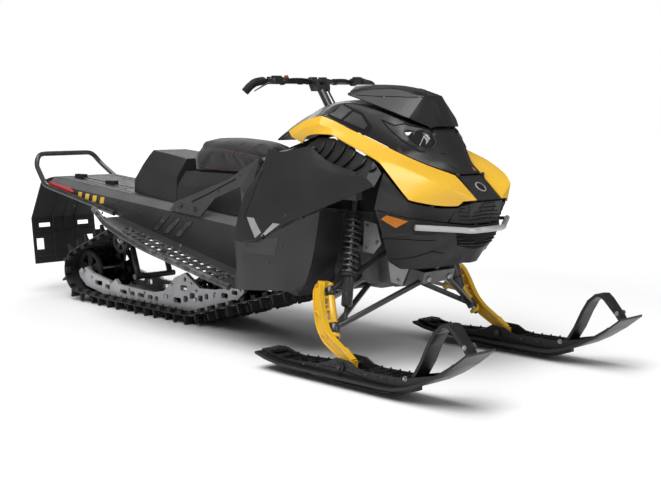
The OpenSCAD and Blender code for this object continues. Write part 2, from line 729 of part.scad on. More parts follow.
module ski() {
  slab(ski_y - ski_w / 2, ski_y + ski_w / 2) polygon(concat(
    [for (x = ski_stations) [x, ski_z(x)]],
    [for (i = [16:-1:0]) [ski_stations[i], ski_z(ski_stations[i]) + ski_deck]]));
  slab(ski_y - 12, ski_y + 12) polygon(concat(
    [for (x = ski_stations) if (x > -350 && x < 400) [x, ski_z(x) - 34 * sin(180 * (x + 400) / 850)]],
    [for (i = [16:-1:0]) if (ski_stations[i] > -350 && ski_stations[i] < 400) [ski_stations[i], ski_z(ski_stations[i]) + 1]]));
  translate([0, ski_y, 0]) {
    both_sides() ski_wall();
    loop = [[286, ski_z(286) + 4], [330, 98], [362, 150], [392, 214], [420, 262], [452, 290], [478, 292], [500, 276],
      [550, 222], [572, ski_z(572) + 5]];
    difference() {
      band(loop, [38, 38, 38, 37, 36, 33, 31, 29, 25, 22], loop_t);
      slab(-ski_w, ski_w) polygon(concat(
        [for (x = ski_stations) if (x > 200) [x, ski_z(x) - 40]],
        [for (i = [16:-1:0]) if (ski_stations[i] > 200) [ski_stations[i], ski_z(ski_stations[i]) + ski_deck + seat_gap]]));
    }
  }
}

module ski_right() color("#1c1c1e") placed() ski();
module ski_left() color("#1c1c1e") placed() mirror([0, 1, 0]) ski();

module tie_rod() difference() {
  rod(tie_low, arm_eye, tie_r);
  translate(arm_eye) cylinder(h = 60, r = 19, center = true);
}

module tie_rods() color("#b9babc") placed() {
  both_sides() {
    tie_rod();
    translate(tie_low) sphere(r = tie_r + 3);
  }
  rod(tie_low, flip([tie_low])[0], tie_r);
}

// ---------- steering ----------

module steering_post() color("#1a1a1c") placed() {
  rod(post_low, post_top, post_r);
  rod(post_low - 12 * post_dir, post_low, post_r);
}

bar_half = [[-690, -bar_w / 2, 1062], [-668, -bar_w / 2 + 30, 1098], [-668, -300, 1108], [-655, -100, 1108]];
bar_path = bent(concat(bar_half, flip(spin(bar_half))), 20, 3);

module bar_tube(grow = 0) swept(bar_path, bar_r + grow, [0, 0, 1], 12);

module handlebar() color("#2a2a2c") placed() {
  bar_tube();
  rod([-655, -96, 1108], [-655, 96, 1108], bar_r + 0.2);
  difference() {
    both_sides() hull() {
      translate([-636, -28, 1080]) cube([40, 16, 24], center = true);
      translate([-655, -28, 1112]) cube([34, 16, 30], center = true);
    }
    rod(post_low, post_top, post_r + 0.3);
  }
  translate([-640, 0, 1085]) difference() {
    cube([44, 44, 20], center = true);
    translate(-1 * [-640, 0, 1085]) rod(post_low, post_top, post_r + 0.3);
  }
}

module handgrips() color("#1b1b1d") placed() both_sides() difference() {
  rod([-668, -bar_w / 2 + 52, 1103.5], [-668, -285, 1108], 17);
  bar_tube(seat_gap);
}

module bar_controls() color("#1b1b1d") placed() both_sides() difference() {
  translate([-652, -235, 1112]) cube([56, 84, 44], center = true);
  bar_tube(seat_gap);
}

// ---------- track and skid ----------

axle_x = -690;
axle_z = 318;
axle_r = 16;
band_t = 6;
rear_axle = [-2250, 158];
upper_idler = [-1893, 345];
rail_floor = lug_h + band_t;
guides = [
  [axle_x, axle_z, sprocket_r], [upper_idler[0], upper_idler[1], idler_r], [rear_axle[0], rear_axle[1], rear_wheel_r],
  [-2050, rail_floor + 300, 300], [-1367, rail_floor + 260, 260]
];

// The belt runs anticlockwise round the guides in the x-z plane. Each entry of tangent_angles is the
// direction of the outward normal on the straight run from one guide to the next.
guide_count = len(guides);
tangent_angles = [
  for (i = [0:guide_count - 1])
    let (a = guides[i], b = guides[(i + 1) % guide_count], dx = b[0] - a[0], dz = b[1] - a[1])
      atan2(dz, dx) - acos((a[2] - b[2]) / norm([dx, dz]))
];
function turn_up(a, b) = a < b ? turn_up(a + 360, b) : a - b >= 360 ? turn_up(a - 360, b) : a;
arc_step = 9;
belt = [
  for (i = [0:guide_count - 1])
    let (
      from = tangent_angles[(i + guide_count - 1) % guide_count],
      to = turn_up(tangent_angles[i], from),
      steps = max(1, ceil((to - from) / arc_step))
    )
      for (k = [0:steps]) [guides[i][0], guides[i][1], guides[i][2], from + (to - from) * k / steps]
];
belt_count = len(belt);
function belt_point(e, h) = [e[0] + (e[2] + h) * cos(e[3]), e[1] + (e[2] + h) * sin(e[3])];
belt_mid = [for (e = belt) belt_point(e, band_t / 2)];
runs = [for (i = [0:belt_count - 1]) norm(belt_mid[(i + 1) % belt_count] - belt_mid[i])];
function sums(list, i = 0, t = 0) = i == len(list) ? [t] : concat([t], sums(list, i + 1, t + list[i]));
marks = sums(runs);
belt_len = marks[belt_count];
// The point at a distance along the belt's middle line, h outside its inner face.
function along(s, h) =
  let (
    w = s - belt_len * floor(s / belt_len),
    i = max([for (k = [0:belt_count - 1]) if (marks[k] <= w) k]),
    t = (w - marks[i]) / max(runs[i], 0.001)
  )
    (1 - t) * belt_point(belt[i], h) + t * belt_point(belt[(i + 1) % belt_count], h);
lug_pitch = belt_len / lug_rows;
lug_foot = 18;
lug_tip = 10;

module track() color("#141416") placed() slab(-track_half, track_half) difference() {
  polygon([for (i = [0:lug_rows - 1]) let (s = i * lug_pitch) each [
    along(s - lug_foot / 2, band_t), along(s - lug_tip / 2, band_t + lug_h),
    along(s + lug_tip / 2, band_t + lug_h), along(s + lug_foot / 2, band_t),
    along(s + lug_pitch * 0.4, band_t), along(s + lug_pitch * 0.6, band_t)
  ]]);
  polygon([for (e = belt) belt_point(e, 0)]);
}

rail_y = 130;
rail_t = 20;

bogie_r = 58;
bogies = [[-1540, rail_floor + bogie_r + seat_gap], [-1320, 116], [-1190, 149]];
bogie_axle_r = 9;
shaft_gap = 0.3;

module rail() translate([0, -rail_y, 0]) slab(-rail_t / 2, rail_t / 2) difference() {
  polygon([[-2300, 150], [-2230, 175], [-2180, 150], [-1990, 120], [-1970, 140], [-1940, 116], [-1640, 112],
    [-1560, 130], [-1480, 200], [-1400, 232], [-1350, 205], [-1290, 172], [-1180, 178], [-1040, 205], [-985, 215],
    [-975, 190], [-1040, 133], [-1160, 100], [-1270, 68], [-1370, rail_floor + 1], [-2040, rail_floor + 1], [-2230, 80],
    [-2290, 120]]);
  translate(rear_axle) circle(r = 14);
  for (p = bogies) translate(p) circle(r = bogie_axle_r + shaft_gap);
}

module skid_rails() color("#a9abae") placed() both_sides() rail();

module wheel(p, r, y, w) translate([p[0], y - w / 2, p[1]]) rotate([-90, 0, 0]) cylinder(h = w, r = r);

module skid_wheels() color("#1a1a1c") placed() {
  both_sides() wheel(rear_axle, rear_wheel_r - seat_gap, -100, 20);
  wheel(rear_axle, 14 - shaft_gap, 0, 2 * rail_y + 60);
  both_sides() wheel(upper_idler, idler_r - seat_gap, -150, 20);
  wheel(upper_idler, 10, 0, tunnel_w - 2 * tunnel_t - 1);
  for (p = bogies) {
    both_sides() wheel(p, bogie_r, -95, 20);
    wheel(p, bogie_axle_r, 0, 2 * rail_y + 50);
  }
}

front_cross = [-1360, 190];
front_mount = [-1010, 366];
rear_cross = [-1830, 165];

module cross_tube(p, half, r) rod([p[0], -half, p[1]], [p[0], half, p[1]], r);

module skid_arms() color("#232325") placed() {
  difference() {
    both_sides() rod([upper_idler[0], -95, upper_idler[1]], [rear_cross[0], -95, rear_cross[1]], 14);
    cross_tube(upper_idler, 200, 10 + shaft_gap);
  }
  both_sides() rod([front_cross[0], -95, front_cross[1]], [front_mount[0], -170, front_mount[1]], 14);
  cross_tube(front_cross, rail_y - rail_t / 2 - shaft_gap, 14);
  cross_tube(front_mount, tunnel_half - tunnel_t - 0.5, 12);
  cross_tube(rear_cross, rail_y - rail_t / 2 - shaft_gap, 14);
}

module drive_axle() color("#38383a") placed() {
  wheel([axle_x, axle_z], axle_r, 0, tunnel_w);
  both_sides() wheel([axle_x, axle_z], sprocket_r - 2, -70, 40);
}

tunnel();
running_board_right();
running_board_left();
rear_bumper();
snow_flap();
tail_lights();
cargo_anchors();
seat_cushion();
seat_fairing();
side_brace_right();
side_brace_left();
side_panel_right();
side_panel_left();
lower_panel_right();
lower_panel_left();
hood();
side_trim_right();
side_trim_left();
side_vents();
windshield();
headlights();
nose_cowl();
front_grille();
lower_nose();
front_bumper();
front_frame();
upper_frame();
engine();
front_arms();
front_shocks();
spindle_right();
spindle_left();
ski_right();
ski_left();
tie_rods();
steering_post();
handlebar();
handgrips();
bar_controls();
track();
skid_rails();
skid_wheels();
skid_arms();
drive_axle();
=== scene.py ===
import math

import bpy
import bmesh
from mathutils import Matrix, Vector
from mathutils.bvhtree import BVHTree
from mathutils.geometry import delaunay_2d_cdt


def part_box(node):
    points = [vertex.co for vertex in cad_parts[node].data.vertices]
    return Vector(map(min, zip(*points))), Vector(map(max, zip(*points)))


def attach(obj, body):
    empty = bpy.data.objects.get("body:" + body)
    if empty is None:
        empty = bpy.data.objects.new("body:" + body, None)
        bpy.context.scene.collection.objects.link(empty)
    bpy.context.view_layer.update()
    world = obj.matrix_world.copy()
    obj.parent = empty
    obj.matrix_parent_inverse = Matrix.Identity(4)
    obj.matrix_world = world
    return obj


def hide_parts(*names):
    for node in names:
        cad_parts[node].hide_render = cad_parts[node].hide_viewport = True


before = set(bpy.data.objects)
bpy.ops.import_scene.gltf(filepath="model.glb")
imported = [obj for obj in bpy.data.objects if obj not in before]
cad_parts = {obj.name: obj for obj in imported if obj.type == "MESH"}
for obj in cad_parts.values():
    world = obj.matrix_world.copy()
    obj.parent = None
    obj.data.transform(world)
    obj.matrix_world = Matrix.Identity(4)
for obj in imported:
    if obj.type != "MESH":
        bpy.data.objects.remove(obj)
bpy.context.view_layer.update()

pivotStation = 1040       # the ski pivot's place in the frame, in mm
upAxis = Vector((0, 0, 1))


def at(x, y, z):          # mm from the ski pivot station, as the part's source gives its points
    return Vector((x + pivotStation, y, z)) * 0.001


def mm(x, y, z):          # mm in the frame
    return Vector((x, y, z)) * 0.001


# shader groups

def newGroup(name, inputs, outputs):
    tree = bpy.data.node_groups.new(name, "ShaderNodeTree")
    for label, kind, value in inputs:
        made = tree.interface.new_socket(label, in_out="INPUT", socket_type="NodeSocket" + kind)
        if value is not None:
            made.default_value = value
    for label, kind in outputs:
        tree.interface.new_socket(label, in_out="OUTPUT", socket_type="NodeSocket" + kind)
    return tree, tree.nodes.new("NodeGroupInput"), tree.nodes.new("NodeGroupOutput")


def node(tree, kind, **values):
    made = tree.nodes.new("ShaderNode" + kind)
    for key, value in values.items():
        setattr(made, key, value)
    return made


def mapRange(tree, source, fromLow, fromHigh, toLow, toHigh):
    made = node(tree, "MapRange")
    tree.links.new(source, made.inputs["Value"])
    for label, value in (("From Min", fromLow), ("From Max", fromHigh), ("To Min", toLow),
                         ("To Max", toHigh)):
        made.inputs[label].default_value = value
    return made.outputs["Result"]


def surfaceGroup(name, cells):   # fine grain or pebbled cells, and slow patches of tone
    tree, given, out = newGroup(name, [
        ("Vector", "Vector", None), ("Scale", "Float", 300.0), ("Patch Scale", "Float", 5.0),
        ("Stretch", "Vector", (1.0, 1.0, 1.0))], [("Height", "Float"), ("Patch", "Float")])
    stretched = node(tree, "VectorMath", operation="MULTIPLY")
    tree.links.new(given.outputs["Vector"], stretched.inputs[0])
    tree.links.new(given.outputs["Stretch"], stretched.inputs[1])
    if cells:
        fine = node(tree, "TexVoronoi", feature="SMOOTH_F1")
        height = fine.outputs["Distance"]
    else:
        fine = node(tree, "TexNoise")
        fine.inputs["Detail"].default_value = 3.0
        height = fine.outputs["Fac"]
    tree.links.new(stretched.outputs[0], fine.inputs["Vector"])
    tree.links.new(given.outputs["Scale"], fine.inputs["Scale"])
    slow = node(tree, "TexNoise")
    slow.inputs["Detail"].default_value = 4.0
    tree.links.new(given.outputs["Vector"], slow.inputs["Vector"])
    tree.links.new(given.outputs["Patch Scale"], slow.inputs["Scale"])
    tree.links.new(height, out.inputs["Height"])
    tree.links.new(mapRange(tree, slow.outputs["Fac"], 0.3, 0.7, 0.0, 1.0), out.inputs["Patch"])
    return tree


def edgeWearGroup():             # raised edges rubbed lighter, broken up by noise
    tree, given, out = newGroup("edgeWear", [
        ("Vector", "Vector", None), ("Scale", "Float", 30.0), ("Amount", "Float", 0.5)], [("Mask", "Float")])
    shape = node(tree, "NewGeometry")
    edge = mapRange(tree, shape.outputs["Pointiness"], 0.53, 0.62, 0.0, 1.0)
    broken = node(tree, "TexNoise")
    broken.inputs["Detail"].default_value = 5.0
    tree.links.new(given.outputs["Vector"], broken.inputs["Vector"])
    tree.links.new(given.outputs["Scale"], broken.inputs["Scale"])
    rough = mapRange(tree, broken.outputs["Fac"], 0.42, 0.62, 0.0, 1.0)
    both = node(tree, "Math", operation="MULTIPLY")
    tree.links.new(edge, both.inputs[0])
    tree.links.new(rough, both.inputs[1])
    scaled = node(tree, "Math", operation="MULTIPLY", use_clamp=True)
    tree.links.new(both.outputs[0], scaled.inputs[0])
    tree.links.new(given.outputs["Amount"], scaled.inputs[1])
    tree.links.new(scaled.outputs[0], out.inputs["Mask"])
    return tree


def dustGroup():                 # a light film on faces that look up
    tree, given, out = newGroup("dust", [
        ("Vector", "Vector", None), ("Scale", "Float", 12.0), ("Amount", "Float", 0.2)], [("Mask", "Float")])
    shape = node(tree, "NewGeometry")
    parts = node(tree, "SeparateXYZ")
    tree.links.new(shape.outputs["Normal"], parts.inputs[0])
    facing = mapRange(tree, parts.outputs["Z"], 0.1, 1.0, 0.0, 1.0)
    cloud = node(tree, "TexNoise")
    cloud.inputs["Detail"].default_value = 6.0
    tree.links.new(given.outputs["Vector"], cloud.inputs["Vector"])
    tree.links.new(given.outputs["Scale"], cloud.inputs["Scale"])
    both = node(tree, "Math", operation="MULTIPLY")
    tree.links.new(facing, both.inputs[0])
    tree.links.new(mapRange(tree, cloud.outputs["Fac"], 0.35, 0.75, 0.0, 1.0), both.inputs[1])
    scaled = node(tree, "Math", operation="MULTIPLY", use_clamp=True)
    tree.links.new(both.outputs[0], scaled.inputs[0])
    tree.links.new(given.outputs["Amount"], scaled.inputs[1])
    tree.links.new(scaled.outputs[0], out.inputs["Mask"])
    return tree


grainTree = surfaceGroup("grain", False)
pebbleTree = surfaceGroup("pebble", True)
wearTree = edgeWearGroup()
dustTree = dustGroup()


# finishes

def rgb(r, g, b):
    return (r, g, b, 1.0)


def finish(name, colour, second, rough, spread=0.08, metallic=0.0, coat=0.0, coatRough=0.08, specular=0.5,
           grain=350.0, bump=0.12, depth=0.0004, patch=5.0, stretch=(1.0, 1.0, 1.0), pebble=False,
           worn=None, wearAmount=0.0, dust=0.0, sheen=0.0, glow=0.0):
    material = bpy.data.materials.new(name)
    material.use_nodes = True
    tree = material.node_tree
    shader = tree.nodes["Principled BSDF"]
    place = node(tree, "TexCoord")
    surface = node(tree, "Group", node_tree=pebbleTree if pebble else grainTree)
    surface.inputs["Scale"].default_value = grain
    surface.inputs["Patch Scale"].default_value = patch
    surface.inputs["Stretch"].default_value = stretch
    tree.links.new(place.outputs["Object"], surface.inputs["Vector"])

    def blend(mask, before, after):
        made = node(tree, "Mix", data_type="RGBA")
        tree.links.new(mask, made.inputs[0])
        if hasattr(before, "default_value"):
            tree.links.new(before, made.inputs[6])
        else:
            made.inputs[6].default_value = before
        made.inputs[7].default_value = after
        return made.outputs[2]

    tone = blend(surface.outputs["Patch"], colour, second)
    if worn:
        wear = node(tree, "Group", node_tree=wearTree)
        wear.inputs["Amount"].default_value = wearAmount
        tree.links.new(place.outputs["Object"], wear.inputs["Vector"])
        tone = blend(wear.outputs["Mask"], tone, worn)
    if dust:
        film = node(tree, "Group", node_tree=dustTree)
        film.inputs["Amount"].default_value = dust
        tree.links.new(place.outputs["Object"], film.inputs["Vector"])
        tone = blend(film.outputs["Mask"], tone, rgb(0.32, 0.32, 0.33))
    tree.links.new(tone, shader.inputs["Base Color"])
    tree.links.new(mapRange(tree, surface.outputs["Height"], 0.25, 0.75, rough - spread, rough + spread),
                   shader.inputs["Roughness"])
    raised = node(tree, "Bump")
    raised.inputs["Strength"].default_value = bump
    raised.inputs["Distance"].default_value = depth
    tree.links.new(surface.outputs["Height"], raised.inputs["Height"])
    tree.links.new(raised.outputs["Normal"], shader.inputs["Normal"])
    for label, value in (("Metallic", metallic), ("Coat Weight", coat), ("Coat Roughness", coatRough),
                         ("Specular IOR Level", specular), ("Sheen Weight", sheen)):
        shader.inputs[label].default_value = value
    if glow:
        tree.links.new(tone, shader.inputs["Emission Color"])
        shader.inputs["Emission Strength"].default_value = glow
    return material


finishes = {
    "yellowPaint": dict(colour=rgb(0.80, 0.47, 0.035), second=rgb(0.74, 0.42, 0.028), rough=0.42, spread=0.05,
                        coat=0.12, grain=900, bump=0.03, worn=rgb(0.95, 0.72, 0.2), wearAmount=0.2),
    "yellowForged": dict(colour=rgb(0.74, 0.43, 0.014), second=rgb(0.66, 0.36, 0.01), rough=0.36, coat=0.35,
                         grain=260, bump=0.16, depth=0.0005, worn=rgb(0.6, 0.45, 0.2), wearAmount=0.4),
    "glossBlack": dict(colour=rgb(0.014, 0.014, 0.015), second=rgb(0.02, 0.02, 0.021), rough=0.36, coat=0.12,
                       specular=0.32, grain=900, bump=0.03),
    "satinBlack": dict(colour=rgb(0.016, 0.016, 0.017), second=rgb(0.023, 0.023, 0.024), rough=0.46,
                       coat=0.04,
                       specular=0.32, grain=700, bump=0.06, worn=rgb(0.06, 0.06, 0.06), wearAmount=0.3),
    "grainedBlack": dict(colour=rgb(0.012, 0.012, 0.013), second=rgb(0.018, 0.018, 0.019), rough=0.55,
                         grain=420, bump=0.3, depth=0.0005, pebble=True),
    "panelGrey": dict(colour=rgb(0.02, 0.02, 0.021), second=rgb(0.028, 0.028, 0.029), rough=0.46, coat=0.04,
                      specular=0.36, grain=650, bump=0.08, worn=rgb(0.08, 0.08, 0.08), wearAmount=0.2),
    "smokedVisor": dict(colour=rgb(0.012, 0.012, 0.013), second=rgb(0.017, 0.017, 0.018), rough=0.3,
                        spread=0.04,
                        coat=0.15, specular=0.36, grain=900, bump=0.02),
    # painted shade: a darker, duller black than the panels around it, laid in grooves, recesses and behind openings
    # to stand in for the shade that falls there
    "paintedShadeBlack": dict(colour=rgb(0.006, 0.006, 0.006), second=rgb(0.009, 0.009, 0.009), rough=0.8,
                       specular=0.2,
                       grain=200, bump=0.1),
    "paneBlack": dict(colour=rgb(0.004, 0.004, 0.005), second=rgb(0.007, 0.007, 0.007), rough=0.3,
                      spread=0.03,
                      coat=0.2, grain=900, bump=0.02),
    "paneGrey": dict(colour=rgb(0.034, 0.034, 0.035), second=rgb(0.045, 0.045, 0.046), rough=0.5,
                     specular=0.3,
                     grain=700, bump=0.1, pebble=True),
    "tunnelCoat": dict(colour=rgb(0.036, 0.036, 0.038), second=rgb(0.046, 0.046, 0.048), rough=0.5,
                       metallic=0.2,
                       specular=0.4,
                       grain=500, bump=0.1, stretch=(0.15, 1.0, 1.0), worn=rgb(0.3, 0.3, 0.3), wearAmount=0.3,
                       dust=0.06),
    "bevelGrey": dict(colour=rgb(0.1, 0.1, 0.103), second=rgb(0.13, 0.13, 0.133), rough=0.5, metallic=0.15,
                      grain=400, bump=0.06, stretch=(0.1, 1.0, 1.0)),
    "boardGrey": dict(colour=rgb(0.04, 0.04, 0.042), second=rgb(0.06, 0.06, 0.063), rough=0.48, metallic=0.4,
                      grain=380, bump=0.12, worn=rgb(0.4, 0.4, 0.4), wearAmount=0.6),
    "braceGrey": dict(colour=rgb(0.04, 0.04, 0.042), second=rgb(0.055, 0.055, 0.057), rough=0.46,
                      metallic=0.2,
                      grain=500, bump=0.08, worn=rgb(0.25, 0.25, 0.25), wearAmount=0.3),
    "tubeBlack": dict(colour=rgb(0.02, 0.02, 0.021), second=rgb(0.03, 0.03, 0.031), rough=0.34, coat=0.25,
                      grain=500, bump=0.06, worn=rgb(0.12, 0.12, 0.12), wearAmount=0.3),
    "flapRubber": dict(colour=rgb(0.016, 0.016, 0.016), second=rgb(0.024, 0.024, 0.024), rough=0.55,
                       specular=0.35,
                       grain=260, bump=0.2, pebble=True, dust=0.1),
    "fairingGrey": dict(colour=rgb(0.02, 0.02, 0.021), second=rgb(0.028, 0.028, 0.029), rough=0.56,
                        specular=0.3, grain=380, bump=0.22, pebble=True),
    "seatVinyl": dict(colour=rgb(0.016, 0.016, 0.017), second=rgb(0.024, 0.024, 0.025), rough=0.6,
                      specular=0.22,
                      grain=330, bump=0.45, depth=0.0008, pebble=True, sheen=0.25, patch=9),
    "stitchThread": dict(colour=rgb(0.3, 0.1, 0.02), second=rgb(0.22, 0.07, 0.012), rough=0.7, grain=1500,
                         bump=0.4,
                         sheen=0.3),
    "silverSatin": dict(colour=rgb(0.55, 0.55, 0.56), second=rgb(0.46, 0.46, 0.47), rough=0.36, metallic=0.4,
                        grain=420, bump=0.1, stretch=(1.0, 0.08, 1.0), patch=8),
    "railAlloy": dict(colour=rgb(0.5, 0.505, 0.515), second=rgb(0.4, 0.405, 0.415), rough=0.44, metallic=0.3,
                      grain=420, bump=0.14, stretch=(0.12, 1.0, 1.0), patch=14, worn=rgb(0.6, 0.6, 0.6),
                      wearAmount=0.4),
    # painted light: the silver plates are made a pale, mostly non-metallic grey so they read bright though they sit
    # in shade, in place of a silver plate's bright reflection
    "platePaintedLight": dict(colour=rgb(0.5, 0.5, 0.51), second=rgb(0.42, 0.42, 0.43), rough=0.46, metallic=0.15,
                      grain=300,
                      bump=0.1, patch=12),
    "castAlloy": dict(colour=rgb(0.2, 0.203, 0.207), second=rgb(0.13, 0.133, 0.137), rough=0.5, metallic=0.35,
                      grain=240, bump=0.3, depth=0.0006, patch=16),
    "chromeRod": dict(colour=rgb(0.72, 0.72, 0.74), second=rgb(0.6, 0.6, 0.62), rough=0.14, spread=0.05,
                      metallic=1.0, grain=600, bump=0.02, patch=20),
    "steelBright": dict(colour=rgb(0.5, 0.5, 0.5), second=rgb(0.36, 0.36, 0.37), rough=0.32, metallic=1.0,
                        grain=500, bump=0.1, patch=30),
    "boltBlack": dict(colour=rgb(0.03, 0.03, 0.03), second=rgb(0.05, 0.05, 0.05), rough=0.38, metallic=0.6,
                      grain=500, bump=0.1, patch=40, worn=rgb(0.3, 0.3, 0.3), wearAmount=0.5),
    "springBlack": dict(colour=rgb(0.02, 0.02, 0.021), second=rgb(0.03, 0.03, 0.031), rough=0.28, coat=0.5,
                        grain=500, bump=0.05, patch=20),
    "trackRubber": dict(colour=rgb(0.012, 0.012, 0.012), second=rgb(0.02, 0.02, 0.02), rough=0.68,
                        specular=0.3,
                        grain=160, bump=0.3, depth=0.0008, dust=0.05, worn=rgb(0.05, 0.05, 0.05),
                        wearAmount=0.5),
    "skiPlastic": dict(colour=rgb(0.011, 0.011, 0.012), second=rgb(0.016, 0.016, 0.017), rough=0.4, coat=0.06,
                       specular=0.35,
                       grain=240, bump=0.08, stretch=(0.1, 1.0, 1.0), worn=rgb(0.09, 0.09, 0.09),
                       wearAmount=0.4),
    "gripRubber": dict(colour=rgb(0.013, 0.013, 0.013), second=rgb(0.019, 0.019, 0.019), rough=0.66,
                       specular=0.3,
                       grain=500, bump=0.35, pebble=True),
    "lampRed": dict(colour=rgb(0.5, 0.015, 0.02), second=rgb(0.38, 0.01, 0.012), rough=0.2, coat=0.6,
                    grain=260,
                    bump=0.12, pebble=True, glow=0.15),
    "lampAmber": dict(colour=rgb(0.5, 0.17, 0.015), second=rgb(0.4, 0.12, 0.01), rough=0.3, coat=0.5,
                      grain=200,
                      bump=0.25, pebble=True),
    "lampClear": dict(colour=rgb(0.16, 0.165, 0.17), second=rgb(0.08, 0.082, 0.085), rough=0.16, spread=0.05,
                      coat=0.5, metallic=0.3, grain=120, bump=0.3, pebble=True),
    "killRed": dict(colour=rgb(0.62, 0.03, 0.015), second=rgb(0.5, 0.02, 0.01), rough=0.35, coat=0.3,
                    grain=500,
                    bump=0.05),
    "markSilver": dict(colour=rgb(0.5, 0.5, 0.51), second=rgb(0.36, 0.36, 0.37), rough=0.35, metallic=0.4,
                       grain=800, bump=0.05, patch=10),
}
made = {name: finish(name, **spec) for name, spec in finishes.items()}
print("finishes:", len(made))


# finishes of the carried nodes

nodeFinish = {
    "tunnel": "tunnelCoat", "running_board_right": "boardGrey", "running_board_left": "boardGrey",
    "rear_bumper": "tubeBlack", "snow_flap": "flapRubber", "tail_lights": "lampRed",
    "cargo_anchors": "grainedBlack", "seat_cushion": "seatVinyl", "seat_fairing": "fairingGrey",
    "side_brace_right": "braceGrey", "side_brace_left": "braceGrey", "side_panel_right": "satinBlack",
    "side_panel_left": "satinBlack", "lower_panel_right": "panelGrey", "lower_panel_left": "panelGrey",
    "hood": "glossBlack", "side_trim_right": "yellowPaint", "side_trim_left": "yellowPaint",
    "side_vents": "grainedBlack", "windshield": "smokedVisor", "headlights": "lampClear",
    "nose_cowl": "satinBlack", "front_grille": "grainedBlack", "lower_nose": "satinBlack",
    "front_bumper": "silverSatin", "front_frame": "castAlloy", "upper_frame": "tubeBlack",
    "engine": "castAlloy", "front_arms": "tubeBlack", "front_shocks": "springBlack",
    "spindle_right": "yellowForged", "spindle_left": "yellowForged", "ski_right": "skiPlastic",
    "ski_left": "skiPlastic", "tie_rods": "silverSatin", "steering_post": "tubeBlack",
    "handlebar": "tubeBlack", "handgrips": "gripRubber", "bar_controls": "grainedBlack",
    "track": "trackRubber", "skid_rails": "railAlloy", "skid_wheels": "grainedBlack",
    "skid_arms": "tubeBlack", "drive_axle": "steelBright",
}
for name, look in nodeFinish.items():
    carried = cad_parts[name]
    for place in carried.material_slots:
        place.material = made[look]

# the surfaces that details are laid on
surfaces = {}


def surface(*names):
    if names not in surfaces:
        points, faces = [], []
        for name in names:
            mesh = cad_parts[name].data
            base = len(points)
            points += [v.co.copy() for v in mesh.vertices]
            faces += [[base + i for i in p.vertices] for p in mesh.polygons]
        surfaces[names] = BVHTree.FromPolygons(points, faces)
    return surfaces[names]


edgeSize = {    # width of the rounded edge on each carried node, metres
    "hood": 0.0022, "side_trim_right": 0.002, "side_trim_left": 0.002, "side_panel_right": 0.0022,
    "side_panel_left": 0.0022, "lower_panel_right": 0.002, "lower_panel_left": 0.002, "windshield": 0.0018,
    "nose_cowl": 0.002, "lower_nose": 0.002, "front_grille": 0.0015, "seat_fairing": 0.004,
    "side_brace_right": 0.002, "side_brace_left": 0.002, "spindle_right": 0.004, "spindle_left": 0.004,
    "ski_right": 0.0018, "ski_left": 0.0018, "front_bumper": 0.003, "front_frame": 0.002, "engine": 0.006,
    "bar_controls": 0.004, "tunnel": 0.0008, "snow_flap": 0.0012, "cargo_anchors": 0.002, "side_vents": 0.001,
    "front_arms": 0.0015, "skid_rails": 0.0015, "skid_arms": 0.0015,
}
for name, width in edgeSize.items():
    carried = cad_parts[name]
    weld = carried.modifiers.new("joined", "WELD")
    weld.merge_threshold = 0.00002
    soft = carried.modifiers.new("softEdges", "BEVEL")
    soft.width = width
    soft.segments = 2
    soft.limit_method = "ANGLE"
    soft.angle_limit = math.radians(22)
    soft.harden_normals = True


# shapes

def basis(direction):            # two directions square to the given one
    n = direction.normalized()
    side = n.cross(upAxis)
    if side.length < 0.05:
        side = n.cross(Vector((0, 1, 0)))
    side.normalize()
    return n, side, side.cross(n).normalized()


